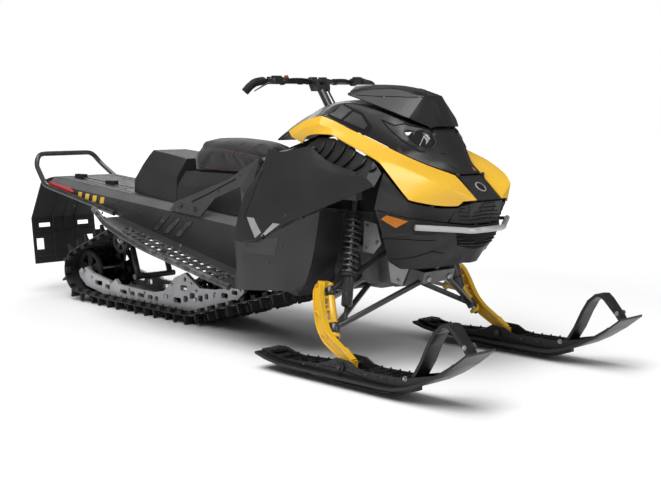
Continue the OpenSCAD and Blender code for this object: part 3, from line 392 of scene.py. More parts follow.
class Piece:
    # one visible piece, grown from simple closed bodies

    def __init__(self, name, body, slot):
        self.name, self.body, self.slotName = name, body, slot
        self.points, self.faces, self.looks, self.order = [], [], [], []

    def look(self, name):
        if name not in self.order:
            self.order.append(name)
        return self.order.index(name)

    def add(self, points, faces, look):
        base, index = len(self.points), self.look(look)
        self.points += [tuple(p) for p in points]
        self.faces += [tuple(base + i for i in f) for f in faces]
        self.looks += [index] * len(faces)

    def box(self, centre, size, look, turn=None):
        half = Vector(size) / 2
        corners = [Vector((sx * half.x, sy * half.y, sz * half.z)) for sx in (-1,
                                                                              1) for sy in (-1, 1) for sz in (-1, 1)]
        if turn:
            corners = [turn @ c for c in corners]
        self.add([centre + c for c in corners],
                 [(0, 1, 3, 2), (4, 6, 7, 5), (0, 4, 5, 1), (2, 3, 7, 6), (0, 2, 6, 4), (1, 5, 7, 3)], look)

    def prism(self, outline, offset, look):      # a closed outline, carried along the offset
        count = len(outline)
        points = [Vector(p) for p in outline] + [Vector(p) + offset for p in outline]
        faces = [tuple(range(count - 1, -1, -1)), tuple(range(count, 2 * count))]
        faces += [(i, (i + 1) % count, count + (i + 1) % count, count + i) for i in range(count)]
        self.add(points, faces, look)

    def turned(self, start, direction, profile, look, steps=24):   # (radius, distance along) pairs
        n, side, other = basis(direction)
        points, faces = [], []
        for radius, along in profile:
            for k in range(steps):
                a = 2 * math.pi * k / steps
                points.append(start + n * along + (side * math.cos(a) + other * math.sin(a)) * max(radius,
                                                                                                   0.00005))
        rings = len(profile)
        for r in range(rings - 1):
            for k in range(steps):
                m = (k + 1) % steps
                faces.append((r * steps + k, r * steps + m, (r + 1) * steps + m, (r + 1) * steps + k))
        faces.append(tuple(range(steps - 1, -1, -1)))
        faces.append(tuple((rings - 1) * steps + k for k in range(steps)))
        self.add(points, faces, look)

    def ring(self, start, direction, profile, look, steps=36):     # a closed profile, turned into a hoop
        n, side, other = basis(direction)
        points, faces = [], []
        count = len(profile)
        for k in range(steps):
            a = 2 * math.pi * k / steps
            out = side * math.cos(a) + other * math.sin(a)
            points += [start + n * along + out * radius for radius, along in profile]
        for k in range(steps):
            m = (k + 1) % steps
            for i in range(count):
                j = (i + 1) % count
                faces.append((k * count + i, k * count + j, m * count + j, m * count + i))
        self.add(points, faces, look)

    def tube(self, path, radius, look, sides=10, flat=1.0):
        points, faces = [], []
        count = len(path)
        n, side, other = basis(path[1] - path[0])
        for i, p in enumerate(path):
            ahead = (path[min(i + 1, count - 1)] - path[max(i - 1, 0)]).normalized()
            side = (side - ahead * side.dot(ahead)).normalized()
            other = ahead.cross(side).normalized()
            size = radius[i] if isinstance(radius, (list, tuple)) else radius
            for k in range(sides):
                a = 2 * math.pi * k / sides
                points.append(p + side * math.cos(a) * size + other * math.sin(a) * size * flat)
        for i in range(count - 1):
            for k in range(sides):
                m = (k + 1) % sides
                faces.append((i * sides + k, i * sides + m, (i + 1) * sides + m, (i + 1) * sides + k))
        faces.append(tuple(range(sides - 1, -1, -1)))
        faces.append(tuple((count - 1) * sides + k for k in range(sides)))
        self.add(points, faces, look)

    def beam(self, path, across, thick, look, hint):               # a bar of rectangular section along a path
        points, faces = [], []
        count = len(path)
        for i, p in enumerate(path):
            way = (path[min(i + 1, count - 1)] - path[max(i - 1, 0)]).normalized()
            side = (hint - way * hint.dot(way)).normalized()
            face = way.cross(side)
            a = (across[i] if isinstance(across, (list, tuple)) else across) / 2
            for u, v in ((-1, -1), (1, -1), (1, 1), (-1, 1)):
                points.append(p + face * u * a + side * v * thick / 2)
        for i in range(count - 1):
            for k in range(4):
                m = (k + 1) % 4
                faces.append((i * 4 + k, i * 4 + m, (i + 1) * 4 + m, (i + 1) * 4 + k))
        faces += [(3, 2, 1, 0), tuple((count - 1) * 4 + k for k in range(4))]
        self.add(points, faces, look)

    def bolt(self, p, n, size, look="boltBlack", washer=True):     # washer, hexagon head and domed top
        n = n.normalized()
        if washer:
            self.turned(p - n * size * 0.3, n, [(size * 1.5, 0), (size * 1.5, size * 0.42),
                                                (size * 1.35, size * 0.5)],
                        look, 20)
        self.turned(p, n, [(size, 0), (size, size * 0.8), (size * 0.86, size)], look, 6)
        self.turned(p + n * size * 0.95, n, [(size * 0.62, 0), (size * 0.5, size * 0.14)], look, 16)

    def mirror(self):            # the same bodies again on the other side
        count = len(self.points)
        self.points += [(x, -y, z) for x, y, z in self.points]
        self.faces += [tuple(count + i for i in reversed(f)) for f in self.faces]
        self.looks += list(self.looks)

    def finish(self, bevel=0.001, segments=2, smooth=35, replaces=()):
        mesh = bpy.data.meshes.new(self.name)
        mesh.from_pydata(self.points, [], self.faces)
        for name in self.order:
            mesh.materials.append(made[name])
        mesh.polygons.foreach_set("material_index", self.looks)
        mesh.polygons.foreach_set("use_smooth", [True] * len(mesh.polygons))
        work = bmesh.new()
        work.from_mesh(mesh)
        bmesh.ops.recalc_face_normals(work, faces=work.faces)
        work.to_mesh(mesh)
        work.free()
        mesh.set_sharp_from_angle(angle=math.radians(smooth))
        mesh.update()
        piece = bpy.data.objects.new(self.name, mesh)
        bpy.context.scene.collection.objects.link(piece)
        if bevel:
            soft = piece.modifiers.new("softEdges", "BEVEL")
            soft.width = bevel
            soft.segments = segments
            soft.limit_method = "ANGLE"
            soft.angle_limit = math.radians(smooth)
            soft.harden_normals = True
        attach(piece, self.body)
        if replaces:
            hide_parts(*replaces)
        return piece


def along(path, step):           # a polyline with a point every step
    out = [path[0]]
    for a, b in zip(path, path[1:]):
        parts = max(1, round((b - a).length / step))
        out += [a.lerp(b, i / parts) for i in range(1, parts + 1)]
    return out


def curve(path, step=6):         # a smooth curve through the points
    out = []
    ends = [path[0] * 2 - path[1]] + list(path) + [path[-1] * 2 - path[-2]]
    for i in range(1, len(ends) - 2):
        a, b, c, d = ends[i - 1:i + 3]
        for k in range(step):
            t = k / step
            out.append(0.5 * ((2 * b) + (c - a) * t + (2 * a - 5 * b + 4 * c - d) * t * t
                              + (3 * b - a - 3 * c + d) * t ** 3))
    return out + [path[-1]]


def seat(p, tree):               # the nearest point and outward normal of a surface
    found, normal, _, _ = tree.find_nearest(p)
    return found, normal


def inside(p, outline):
    hit = False
    for (ax, ay), (bx, by) in zip(outline, outline[1:] + outline[:1]):
        if (ay > p[1]) != (by > p[1]) and p[0] < (bx - ax) * (p[1] - ay) / (by - ay) + ax:
            hit = not hit
    return hit


def lay(piece, outline, tree, look, lift=0.0012, sink=0.0015, step=0.02, facing=None):
    # a thin plate with the given outline that follows the surface under it
    corners = [seat(p, tree)[0] for p in outline]
    n = facing or sum((seat(p, tree)[1] for p in outline), Vector())
    n, side, other = basis(n)
    centre = sum(corners, Vector()) / len(corners)
    ring = along(corners + corners[:1], step)[:-1]
    flat = [((p - centre).dot(side), (p - centre).dot(other)) for p in ring]
    count = len(flat)
    lows = [min(p[i] for p in flat) for i in (0, 1)]
    highs = [max(p[i] for p in flat) for i in (0, 1)]
    inner = []
    for i in range(1, int((highs[0] - lows[0]) / step) + 1):
        for j in range(1, int((highs[1] - lows[1]) / step) + 1):
            p = (lows[0] + i * step, lows[1] + j * step)
            if inside(p, flat) and min((p[0] - q[0]) ** 2 + (p[1] - q[1]) ** 2 for q in flat) > (step * 0.45) ** 2:
                inner.append(p)
    verts, _, faces, _, _, _ = delaunay_2d_cdt([Vector(p) for p in flat + inner],
                                               [(i, (i + 1) % count) for i in range(count)], [], 1, 1e-7)
    tops, bottoms = [], []
    for v in verts:
        p = centre + side * v.x + other * v.y
        found, normal, _, _ = tree.ray_cast(p + n * 0.06, -n, 0.14)
        if found is None:
            found, normal = seat(p, tree)
        tops.append(found + n * lift)
        bottoms.append(found - n * sink)
    total = len(verts)
    solid = [tuple(f) for f in faces]
    edges = {}
    for f in solid:
        for a, b in zip(f, f[1:] + f[:1]):
            edges[(a, b)] = edges.get((a, b), 0) + 1
    border = [(a, b) for a, b in edges if (b, a) not in edges]
    solid += [tuple(total + i for i in reversed(f)) for f in faces]
    solid += [(b, a, total + a, total + b) for a, b in border]
    piece.add(tops + bottoms, solid, look)


# a cord or crease along a surface
def bead(piece, path, tree, radius, look, lift=0.0, step=0.012, sides=8, flat=1.0):
    spots = []
    for p in along(path, step):
        found, normal = seat(p, tree)
        spots.append(found + normal * lift)
    piece.tube(spots, radius, look, sides, flat)


# track

trackSizes = {"guides": [(-690, 318, 85), (-1893, 345, 66), (-2250, 158, 104), (-2050, 347, 300),
                         (-1367, 307, 260)],
              "belt": 6, "lug": 41, "rows": 48, "half": 190.5}


def beltPath():                  # the inner face of the belt, as points round its guide circles
    circles = trackSizes["guides"]
    count = len(circles)
    leave = []
    for i in range(count):
        (ax, az, ar), (bx, bz, br) = circles[i], circles[(i + 1) % count]
        leave.append(math.atan2(bz - az, bx - ax) - math.acos((ar - br) / math.hypot(bx - ax, bz - az)))
    spots = []
    for i in range(count):
        x, z, r = circles[i]
        start, end = leave[i - 1], leave[i]
        while end < start - 0.3:
            end += 2 * math.pi
        while end - start > 2 * math.pi - 0.3:
            end -= 2 * math.pi
        parts = max(2, int(abs(end - start) / 0.09))
        for k in range(parts + 1):
            a = start + (end - start) * k / parts
            spots.append((x + r * math.cos(a), z + r * math.sin(a)))
    return spots


# places evenly around the belt: point, direction along, direction out
def beltStations(count, phase=0.0):
    spots = beltPath()
    spots.append(spots[0])
    lengths = [math.dist(a, b) for a, b in zip(spots, spots[1:])]
    total = sum(lengths)
    out, i, run = [], 0, 0.0
    for k in range(count):
        goal = total * (k + phase) / count
        while run + lengths[i] < goal - 1e-9:
            run += lengths[i]
            i += 1
        t = (goal - run) / lengths[i]
        a, b = spots[i], spots[i + 1]
        way = Vector((b[0] - a[0], 0, b[1] - a[1])).normalized()
        out.append((at(a[0] + (b[0] - a[0]) * t, 0, a[1] + (b[1] - a[1]) * t), way,
                    Vector((way.z, 0, -way.x))))
    return out


trackPiece = Piece("track_belt", "chassis", "track_rubber")
half, beltT, lugH = trackSizes["half"] / 1000, trackSizes["belt"] / 1000, trackSizes["lug"] / 1000
ringPoints, ringFaces = [], []
beltRing = beltStations(260)
for p, way, out in beltRing:
    if out.dot(p - at(-1500, 0, 250)) < 0:
        out = -out
    for y, h in ((-half, 0), (half, 0), (half, beltT), (-half, beltT)):
        ringPoints.append(p + out * h + Vector((0, y, 0)))
for i in range(len(beltRing)):
    j = (i + 1) % len(beltRing)
    ringFaces += [(4 * i + k, 4 * i + (k + 1) % 4, 4 * j + (k + 1) % 4, 4 * j + k) for k in range(4)]
trackPiece.add(ringPoints, ringFaces, "trackRubber")
lugPlan = ([(-0.178, 0.05), (-0.112, 0.05), (0.0, 0.13), (0.112, 0.05), (0.178, 0.022)],
           [(-0.145, 0.066), (-0.06, 0.064), (0.06, 0.064), (0.145, 0.066)],
           [(-0.178, 0.022), (-0.112, 0.05), (0.0, 0.13), (0.112, 0.05), (0.178, 0.022)],
           [(-0.152, 0.074), (-0.052, 0.05), (0.052, 0.05), (0.152, 0.074)])


def lugBlock(p, way, out, y, width, foot, tip, height):
    points = []
    for h, t, shrink in ((-0.001, foot, 0.0), (height * 0.45, foot * 0.72, 0.002), (height, tip, 0.004)):
        for sy, st in ((-1, -1), (1, -1), (1, 1), (-1, 1)):
            points.append(p + out * (beltT + h) + Vector((0, y + sy * (width / 2 - shrink),
                                                          0)) + way * st * t / 2)
    faces = [(3, 2, 1, 0), (8, 9, 10, 11)]
    for r in (0, 4):
        faces += [(r + k, r + (k + 1) % 4, r + 4 + (k + 1) % 4, r + 4 + k) for k in range(4)]
    trackPiece.add(points, faces, "trackRubber")


for i, (p, way, out) in enumerate(beltStations(trackSizes["rows"])):
    if out.dot(p - at(-1500, 0, 250)) < 0:
        out = -out
    for y, width in lugPlan[i % 4]:
        width = min(width, 2 * (half - abs(y)))
        lugBlock(p, way, out, y, width, 0.018, 0.009, lugH)
    lugBlock(p, way, out, 0, 2 * half - 0.004, 0.012, 0.007, 0.012)        # the rod's rib across the belt
for i, (p, way, out) in enumerate(beltStations(trackSizes["rows"], 0.5)):
    if out.dot(p - at(-1500, 0, 250)) < 0:
        out = -out
    turn = Matrix((way, Vector((0, 1, 0)), out)).transposed()
    for y in (-0.168, -0.108, 0.108, 0.168):
        trackPiece.box(p + Vector((0, y, 0)) + out * (beltT - 0.001), (0.026, 0.02, 0.006), "steelBright",
                       turn)
    for y in (-0.07, 0.07):                                                # drive lugs inside the belt
        trackPiece.box(p + Vector((0, y, 0)) - out * 0.004, (0.016, 0.024, 0.012), "trackRubber", turn)
    for y in (-0.177, 0.177):                                              # teeth along both edges
        trackPiece.box(p + Vector((0, y, 0)) - out * 0.008, (0.03, 0.024, 0.018), "trackRubber", turn)
for y in (-half + 0.0015, half - 0.0015):                                  # worn edge of the belt
    edge = [p + (out if out.dot(p - at(-1500, 0, 250)) > 0 else -out) * beltT * 0.5 + Vector((0, y, 0))
            for p, way, out in beltRing]
    trackPiece.tube(edge + edge[:1], 0.0022, "boardGrey", 6)
trackPiece.finish(bevel=0.0015, segments=1, smooth=40, replaces=["track"])
print("track done")


# rails and wheels

railSizes = {
    "outline": [(-2300, 150), (-2230, 175), (-2180, 150), (-1990, 120), (-1970, 140), (-1940, 116),
                (-1640, 112),
                (-1560, 130), (-1480, 200), (-1400, 232), (-1350, 205), (-1290, 172), (-1180, 178),
                (-1040, 205),
                (-985, 215), (-975, 190), (-1040, 133), (-1160, 100), (-1270, 68), (-1370, 49), (-2040, 49),
                (-2230, 80), (-2290, 120)],
    "holes": [(-2120, 104, 34, 14), (-2040, 92, 22, 14), (-1900, 84, 30, 12), (-1826, 84, 22, 12),
              (-1752, 84, 30, 12),
              (-1676, 84, 22, 12), (-1625, 84, 14, 12), (-1460, 96, 30, 14), (-1396, 110, 18, 16),
              (-1410, 160, 26, 14),
              (-1400, 202, 11, 11), (-1345, 130, 20, 15), (-1285, 126, 18, 15), (-1240, 140, 14, 14),
              (-1110, 160, 24, 12), (-1040, 182, 20, 10)],
    "y": 130, "thick": 20, "slide": 12,
}


def railCurve(y):
    data = bpy.data.curves.new("railCurve", "CURVE")
    data.dimensions = "2D"
    data.fill_mode = "BOTH"
    data.extrude = railSizes["thick"] / 2000 - 0.001
    data.bevel_depth = 0.001
    data.bevel_resolution = 1

    def loop(points):
        line = data.splines.new("POLY")
        line.points.add(len(points) - 1)
        for spot, (x, z) in zip(line.points, points):
            spot.co = ((x + pivotStation) * 0.001, z * 0.001, 0, 1)
        line.use_cyclic_u = True

    loop(railSizes["outline"])
    for x, z, w, h in railSizes["holes"]:
        corner = min(w, h) * 0.55
        points = []
        for cx, cz, start in ((w - corner, h - corner, 0), (corner - w, h - corner, 90),
                              (corner - w, corner - h, 180), (w - corner, corner - h, 270)):
            for k in range(5):
                a = math.radians(start + k * 22.5)
                points.append((x + cx + corner * math.cos(a), z + cz + corner * math.sin(a)))
        loop(points)
    maker = bpy.data.objects.new("railMaker", data)
    bpy.context.scene.collection.objects.link(maker)
    maker.matrix_world = Matrix.Translation((0, y * 0.001, 0)) @ Matrix.Rotation(math.pi / 2, 4, "X")
    bpy.context.view_layer.update()
    mesh = bpy.data.meshes.new_from_object(maker.evaluated_get(bpy.context.evaluated_depsgraph_get()))
    mesh.transform(maker.matrix_world)
    bpy.data.objects.remove(maker)
    return mesh


railWork = bmesh.new()
for y in (-railSizes["y"], railSizes["y"]):
    railWork.from_mesh(railCurve(y))
bmesh.ops.remove_doubles(railWork, verts=railWork.verts, dist=0.00003)
bmesh.ops.recalc_face_normals(railWork, faces=railWork.faces)
railMesh = bpy.data.meshes.new("skid_rail_plates")
railWork.to_mesh(railMesh)
railWork.free()
railMesh.materials.clear()
railMesh.materials.append(made["railAlloy"])
railMesh.polygons.foreach_set("material_index", [0] * len(railMesh.polygons))
railPlates = bpy.data.objects.new("skid_rail_plates", railMesh)
bpy.context.scene.collection.objects.link(railPlates)
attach(railPlates, "chassis")
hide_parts("skid_rails")

railTrim = Piece("rail_slides_and_bolts", "chassis", "steel")
for x, z in ((-2180, 128), (-2010, 118), (-1560, 106), (-1500, 168), (-1350, 186), (-1180, 160), (-1000, 196),
             (-1315, 156), (-1850, 100), (-1720, 100)):
    railTrim.bolt(at(x, -railSizes["y"] - 10, z), Vector((0, -1, 0)), 0.0062, "steelBright")
for x in range(-2020, -1370, 50):          # heads that hold the sliding strip
    railTrim.turned(at(x, -railSizes["y"] - 9.5, 60), Vector((0, -1, 0)),
                    [(0.0045, 0), (0.0045, 0.002), (0.003, 0.003)],
                    "boltBlack", 12)
railTrim.box(at(-1710, -railSizes["y"] - 10.4, 52.5), (0.66, 0.0012, 0.007), "grainedBlack")
railTrim.mirror()
railTrim.finish(bevel=0.0004, segments=1)

wheelSizes = [
    {"x": -2250, "z": 158, "y": 100, "r": 103.7, "spokes": 5},
              {"x": -1893, "z": 345, "y": 150, "r": 65.7, "spokes": 5},
    {"x": -1540, "z": 105.3, "y": 95, "r": 58, "spokes": 4},
              {"x": -1320, "z": 116, "y": 95, "r": 58, "spokes": 4},
    {"x": -1190, "z": 149, "y": 95, "r": 58, "spokes": 4},
]
wheels = Piece("skid_wheel_set", "chassis", "black_plastic")
for spec in wheelSizes:
    r = spec["r"] / 1000
    for sign in (-1, 1):
        c = at(spec["x"], sign * spec["y"], spec["z"])
        n = Vector((0, sign, 0))
        tyre, rim = r * 0.84, r * 0.78
        wheels.ring(c, n, [(tyre, -0.0095), (r - 0.003, -0.0098), (r - 0.0003, -0.006), (r, 0),
                           (r - 0.0003, 0.006),
                           (r - 0.003, 0.0098), (tyre, 0.0095)], "trackRubber", 44)
        wheels.ring(c, n, [(rim - 0.004, -0.007), (tyre + 0.0005, -0.0085), (tyre + 0.0005, 0.0085),
                           (rim - 0.004, 0.007)], "grainedBlack", 44)
        wheels.turned(c - n * 0.0098, n, [(0.019, 0), (0.021, 0.004), (0.021, 0.0156), (0.018, 0.0196)],
                      "castAlloy", 24)
        wheels.turned(c - n * 0.012, n, [(0.012, 0), (0.012, 0.023), (0.01, 0.026)], "steelBright", 20)
        wheels.bolt(c + n * 0.013, n, 0.0085, "steelBright")
        n, side, up = basis(n)
        for k in range(spec["spokes"]):
            a = 2 * math.pi * k / spec["spokes"] + 0.3
            away = side * math.cos(a) + up * math.sin(a)
            cross = away.cross(n)
            wide = r * 0.2
            inner, outer = c + away * 0.017, c + away * (rim - 0.002)
            outline = [inner - cross * wide * 0.62, outer - cross * wide, outer + cross * wide,
                       inner + cross * wide * 0.62]
            wheels.prism([p - n * 0.0055 for p in outline], n * 0.011, "grainedBlack")
for x, z in ((-2250, 158), (-1893, 345)):
    wheels.turned(at(x, -155, z), Vector((0, 1, 0)), [(0.0125, 0), (0.0125, 0.31)], "steelBright", 20)
for spec in wheelSizes[2:]:
    wheels.turned(at(spec["x"], -148, spec["z"]), Vector((0, 1, 0)), [(0.0088, 0), (0.0088, 0.296)],
                  "steelBright", 20)
wheels.finish(bevel=0.0012, segments=2, replaces=["skid_wheels"])
print("rails and wheels done")


# front shocks

shockSizes = {"low": (-138, -348, 209), "top": (-200, -232, 662), "coil": 28, "wire": 4.8, "turns": 9.5}
shocks = Piece("front_coil_shocks", "chassis", "black_tube")
low, top = at(*shockSizes["low"]), at(*shockSizes["top"])
axis = (top - low).normalized()
length = (top - low).length
shocks.turned(low - axis * 0.007, axis, [(0.0078, 0), (0.0078, 0.055)], "boltBlack", 20)
shocks.turned(low + axis * 0.0485, axis, [(0.014, 0), (0.0215, 0.006), (0.0215, 0.05), (0.0195, 0.052),
                                          (0.0195, 0.056), (0.0215, 0.058), (0.0215, 0.118), (0.0205, 0.128)],
              "springBlack", 32)
shocks.turned(low + axis * 0.165, axis, [(0.031, 0), (0.0325, 0.002), (0.0325, 0.008), (0.029, 0.012)],
              "satinBlack", 36)
for k in range(5):
    shocks.turned(low + axis * (0.068 + 0.008 * k), axis, [(0.0219, 0), (0.0219, 0.003)], "boltBlack", 32)
shocks.turned(low + axis * 0.17, axis, [(0.009, 0), (0.009, length - 0.235)], "chromeRod", 24)
shocks.turned(low + axis * (length - 0.085), axis,
              [(0.022, 0), (0.0325, 0.004), (0.0325, 0.013), (0.026, 0.02)],
              "satinBlack", 36)
shocks.turned(low + axis * (length - 0.067), axis, [(0.0118, 0), (0.0118, 0.066)], "boltBlack", 24)
n, side, up = basis(axis)
coil = []
spanLow, spanHigh = 0.178, length - 0.085
count = int(shockSizes["turns"] * 26)
for i in range(count + 1):
    a = 2 * math.pi * shockSizes["turns"] * i / count
    coil.append(low + axis * (spanLow + (spanHigh - spanLow) * i / count)
                + (side * math.cos(a) + up * math.sin(a)) * shockSizes["coil"] / 1000)
shocks.tube(coil, shockSizes["wire"] / 1000, "springBlack", 10)
shocks.mirror()
shocks.finish(bevel=0.0008, segments=1, replaces=["front_shocks"])
print("shocks done")


# body shells: the carried panels with soft curves between their creases

shellSizes = {    # crease angle in degrees, levels of subdivision, width of the rounded edge in mm
    "hood": (24, 2, 1.6), "side_trim_right": (24, 2, 1.6), "side_trim_left": (24, 2, 1.6),
    "side_panel_right": (20, 2, 1.8), "side_panel_left": (20, 2, 1.8), "lower_panel_right": (22, 2, 1.6),
    "lower_panel_left": (22, 2, 1.6), "windshield": (24, 2, 1.5), "nose_cowl": (26, 2, 1.5),
    "lower_nose": (26, 2, 1.5), "seat_fairing": (24, 2, 2.5),
}


def shell(name, crease, levels, edge):
    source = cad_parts[name]
    body = bmesh.new()
    body.from_mesh(source.data)
    bmesh.ops.remove_doubles(body, verts=body.verts, dist=0.00002)
    bmesh.ops.dissolve_degenerate(body, edges=body.edges, dist=0.0002)
    bmesh.ops.join_triangles(body, faces=body.faces, angle_face_threshold=math.radians(12),
                             angle_shape_threshold=math.radians(60), cmp_seam=False, cmp_sharp=False,
                             cmp_uvs=False, cmp_vcols=False, cmp_materials=False)
    bmesh.ops.recalc_face_normals(body, faces=body.faces)
    layer = body.edges.layers.float.new("crease_edge")
    for e in body.edges:
        turn = math.degrees(e.calc_face_angle(math.pi))
        e[layer] = 1.0 if turn > crease * 2 else (0.8 if turn > crease else 0.0)
        e.smooth = True
    for f in body.faces:
        f.smooth = True
        f.material_index = 0
    mesh = bpy.data.meshes.new(name + "_shell")
    body.to_mesh(mesh)
    body.free()
    mesh.materials.append(made[nodeFinish[name]])
    skin = bpy.data.objects.new(name + "_shell", mesh)
    bpy.context.scene.collection.objects.link(skin)
    round2 = skin.modifiers.new("curves", "SUBSURF")
    round2.levels = levels
    round2.render_levels = levels
    bpy.context.view_layer.update()
    smoothed = bpy.data.meshes.new_from_object(skin.evaluated_get(bpy.context.evaluated_depsgraph_get()))
    skin.modifiers.clear()
    skin.data = smoothed
    smoothed.name = name + "_shell"
    smoothed.set_sharp_from_angle(angle=math.radians(26))
    soft = skin.modifiers.new("softEdges", "BEVEL")
    soft.width = edge / 1000
    soft.segments = 2
    soft.limit_method = "ANGLE"
    soft.angle_limit = math.radians(26)
    soft.harden_normals = True
    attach(skin, "chassis")
    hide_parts(name)
    surfaces[(name,)] = BVHTree.FromPolygons([v.co.copy() for v in smoothed.vertices],
                                             [tuple(p.vertices) for p in smoothed.polygons])
    return skin


for name, sizes in shellSizes.items():
    shell(name, *sizes)
print("shells done")


# seat cushion

cushionSizes = {"voxel": 0.007, "pressure": 4.0, "cap": 0.012, "shrink": 0.004}


def cushion():
    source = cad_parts["seat_cushion"]
    body = bmesh.new()
    body.from_mesh(source.data)
    bmesh.ops.remove_doubles(body, verts=body.verts, dist=0.00002)
    bmesh.ops.recalc_face_normals(body, faces=body.faces)
    middle = sum((v.co for v in body.verts), Vector()) / len(body.verts)
    moves = [-v.normal * cushionSizes["shrink"] for v in body.verts]
    for v, move in zip(body.verts, moves):
        v.co += move
    mesh = bpy.data.meshes.new("seat_cushion_cover")
    body.to_mesh(mesh)
    body.free()
    pad = bpy.data.objects.new("seat_cushion_cover", mesh)
    bpy.context.scene.collection.objects.link(pad)
    coarse = pad.modifiers.new("voxels", "REMESH")
    coarse.mode = "VOXEL"
    coarse.voxel_size = cushionSizes["voxel"]

    def bake():
        bpy.context.view_layer.update()
        baked = bpy.data.meshes.new_from_object(pad.evaluated_get(bpy.context.evaluated_depsgraph_get()))
        pad.modifiers.clear()
        pad.data = baked

    bake()
    calm = pad.modifiers.new("calm", "SMOOTH")
    calm.iterations = 6
    calm.factor = 0.5
    bake()
    rest = [v.co.copy() for v in pad.data.vertices]
    cloth = pad.modifiers.new("cloth", "CLOTH")
    cloth.settings.use_pressure = True
    cloth.settings.uniform_pressure_force = cushionSizes["pressure"]
    cloth.settings.effector_weights.gravity = 0
    cloth.settings.quality = 5
    cloth.point_cache.frame_start = 1
    cloth.point_cache.frame_end = 20
    for step in range(1, 21):
        bpy.context.scene.frame_set(step)
    bake()
    bpy.context.scene.frame_set(1)
    for v, before in zip(pad.data.vertices, rest):
        move = v.co - before
        if move.length > cushionSizes["cap"]:
            v.co = before + move.normalized() * cushionSizes["cap"]
    tree = BVHTree.FromPolygons([v.co.copy() for v in pad.data.vertices],
                                [tuple(p.vertices) for p in pad.data.polygons])
    surfaces[("seat_cushion",)] = tree
    seams = seamPaths(tree)
    for v in pad.data.vertices:                # the cover pulls in along each seam
        gap = min((seamGap(v.co, path) for path in seams), default=1)
        if gap < 0.022:
            v.co -= v.normal * 0.0055 * (0.5 + 0.5 * math.cos(math.pi * gap / 0.022))
    pad.data.materials.clear()
    pad.data.materials.append(made["seatVinyl"])
    for p in pad.data.polygons:
        p.use_smooth = True
        p.material_index = 0
    finer = pad.modifiers.new("finer", "SUBSURF")
    finer.levels = 1
    finer.render_levels = 1
    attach(pad, "chassis")
    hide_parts("seat_cushion")
    return pad, seams


seamLines = [    # right half, mm in the frame
    [(-640, -118, 742), (-500, -122, 738), (-380, -124, 736), (-258, -124, 731), (-170, -125, 714),
     (-85, -125, 707),
     (20, -125, 712), (120, -122, 720)],
    [(-330, -92, 818), (-240, -98, 815), (-138, -103, 811), (37, -106, 797), (128, -98, 787),
     (200, -90, 780)],
]


def seamPaths(tree):
    out = []
    for line in seamLines:
        for sign in (1, -1):
            path = curve([mm(x, y * sign, z) for x, y, z in line], 8)
            out.append([seat(p, tree)[0] for p in path])
    return out


def seamGap(p, path):
    return min((p - q).length for q in path)


pad, seams = cushion()
thread = Piece("seat_stitching", "chassis", "seat")
padTree = BVHTree.FromPolygons([v.co.copy() for v in pad.data.vertices],
                               [tuple(p.vertices) for p in pad.data.polygons])
for path in seams:
    for offset in (0.0,):
        stations = along(path, 0.0065)
        for i in range(0, len(stations) - 1, 2):
            a, b = stations[i], stations[i + 1]
            found, normal = seat(a, padTree)
            lift = normal * 0.0006 + normal.cross((b - a).normalized()) * offset
            ends = [seat(a + lift, padTree)[0] + normal * 0.0005,
                    seat(b + lift, padTree)[0] + normal * 0.0005]
            if (ends[0] - ends[1]).length > 0.001:
                thread.tube([ends[0], ends[0].lerp(ends[1], 0.5) + normal * 0.0006, ends[1]], 0.0011,
                            "stitchThread", 6)
thread.finish(bevel=0)
print("seat done")


# hood, nose and panels

hoodTree, cowlTree = surface("hood"), surface("nose_cowl")
noseTree, sideTree, lowTree = surface("lower_nose"), surface("side_panel_right"), surface("lower_panel_right")
visorTree, grilleTree = surface("windshield"), surface("front_grille")


def points(rows):
    return [mm(*row) for row in rows]


hoodTrim = Piece("hood_windows_and_grooves", "chassis", "visor")
# painted shade: a dark matte sheet under the hood windows stands in for the shade of their recess
lay(hoodTrim, points([(682, -232, 968), (699, -168, 1024), (822, -174, 982), (882, -190, 930),
                      (862, -200, 906),
                      (740, -222, 944)]), hoodTree, "paintedShadeBlack", 0.0006)
lay(hoodTrim, points([(700, -226, 972), (705, -176, 1014), (766, -180, 993), (738, -212, 956)]), hoodTree,
    "paneGrey",
    0.0022)
lay(hoodTrim, points([(750, -210, 954), (777, -184, 988), (817, -180, 973), (858, -191, 936),
                      (848, -196, 920)]),
    hoodTree, "paneGrey", 0.0022)
# painted shade: dark matte beads along the hood grooves stand in for the shade inside them
for path in ([(907, -165, 958), (969, -158, 937), (1003, -136, 945), (1025, -122, 935), (1059, -92, 928),
              (1092, -61, 909)],
             [(907, -165, 958), (958, -170, 920), (1014, -164, 882), (1076, -133, 841), (1142, -60, 832)]):
    bead(hoodTrim, points(path), hoodTree, 0.0032, "paintedShadeBlack", -0.0012)
# painted shade: a dark matte sheet fills each headlight recess to stand in for its shade
lay(hoodTrim, points([(1030, -146, 896), (1040, -118, 915), (1056, -100, 920), (1090, -77, 907),
                      (1108, -76, 876),
                      (1109, -95, 854), (1082, -118, 854), (1052, -141, 866), (1034, -148, 882)]), hoodTree,
    "paintedShadeBlack", 0.0012)
bead(hoodTrim, points([(1030, -146, 896), (1040, -118, 915), (1056, -100, 920), (1090, -77, 907),
                       (1108, -76, 876),
                       (1109, -95, 854), (1082, -118, 854), (1052, -141, 866), (1034, -148, 882),
                       (1030, -146, 896)]),
     hoodTree, 0.003, "satinBlack", 0.0006)
lay(hoodTrim, points([(1052, -128, 894), (1064, -106, 904), (1086, -90, 898), (1094, -90, 882),
                      (1084, -106, 872),
                      (1062, -126, 878)]), hoodTree, "lampClear", 0.005)
lay(hoodTrim, points([(1066, -113, 894), (1076, -103, 896), (1082, -102, 889), (1074, -111, 885)]), hoodTree,
    "silverSatin", 0.0068)
hoodTrim.mirror()
lay(hoodTrim, points([(1192, 30, 779), (1192, 44, 777), (1202, 43, 767), (1202, 32, 768)]), hoodTree,
    "lampAmber",
    0.003)
hoodTrim.finish(bevel=0.0005, segments=1)

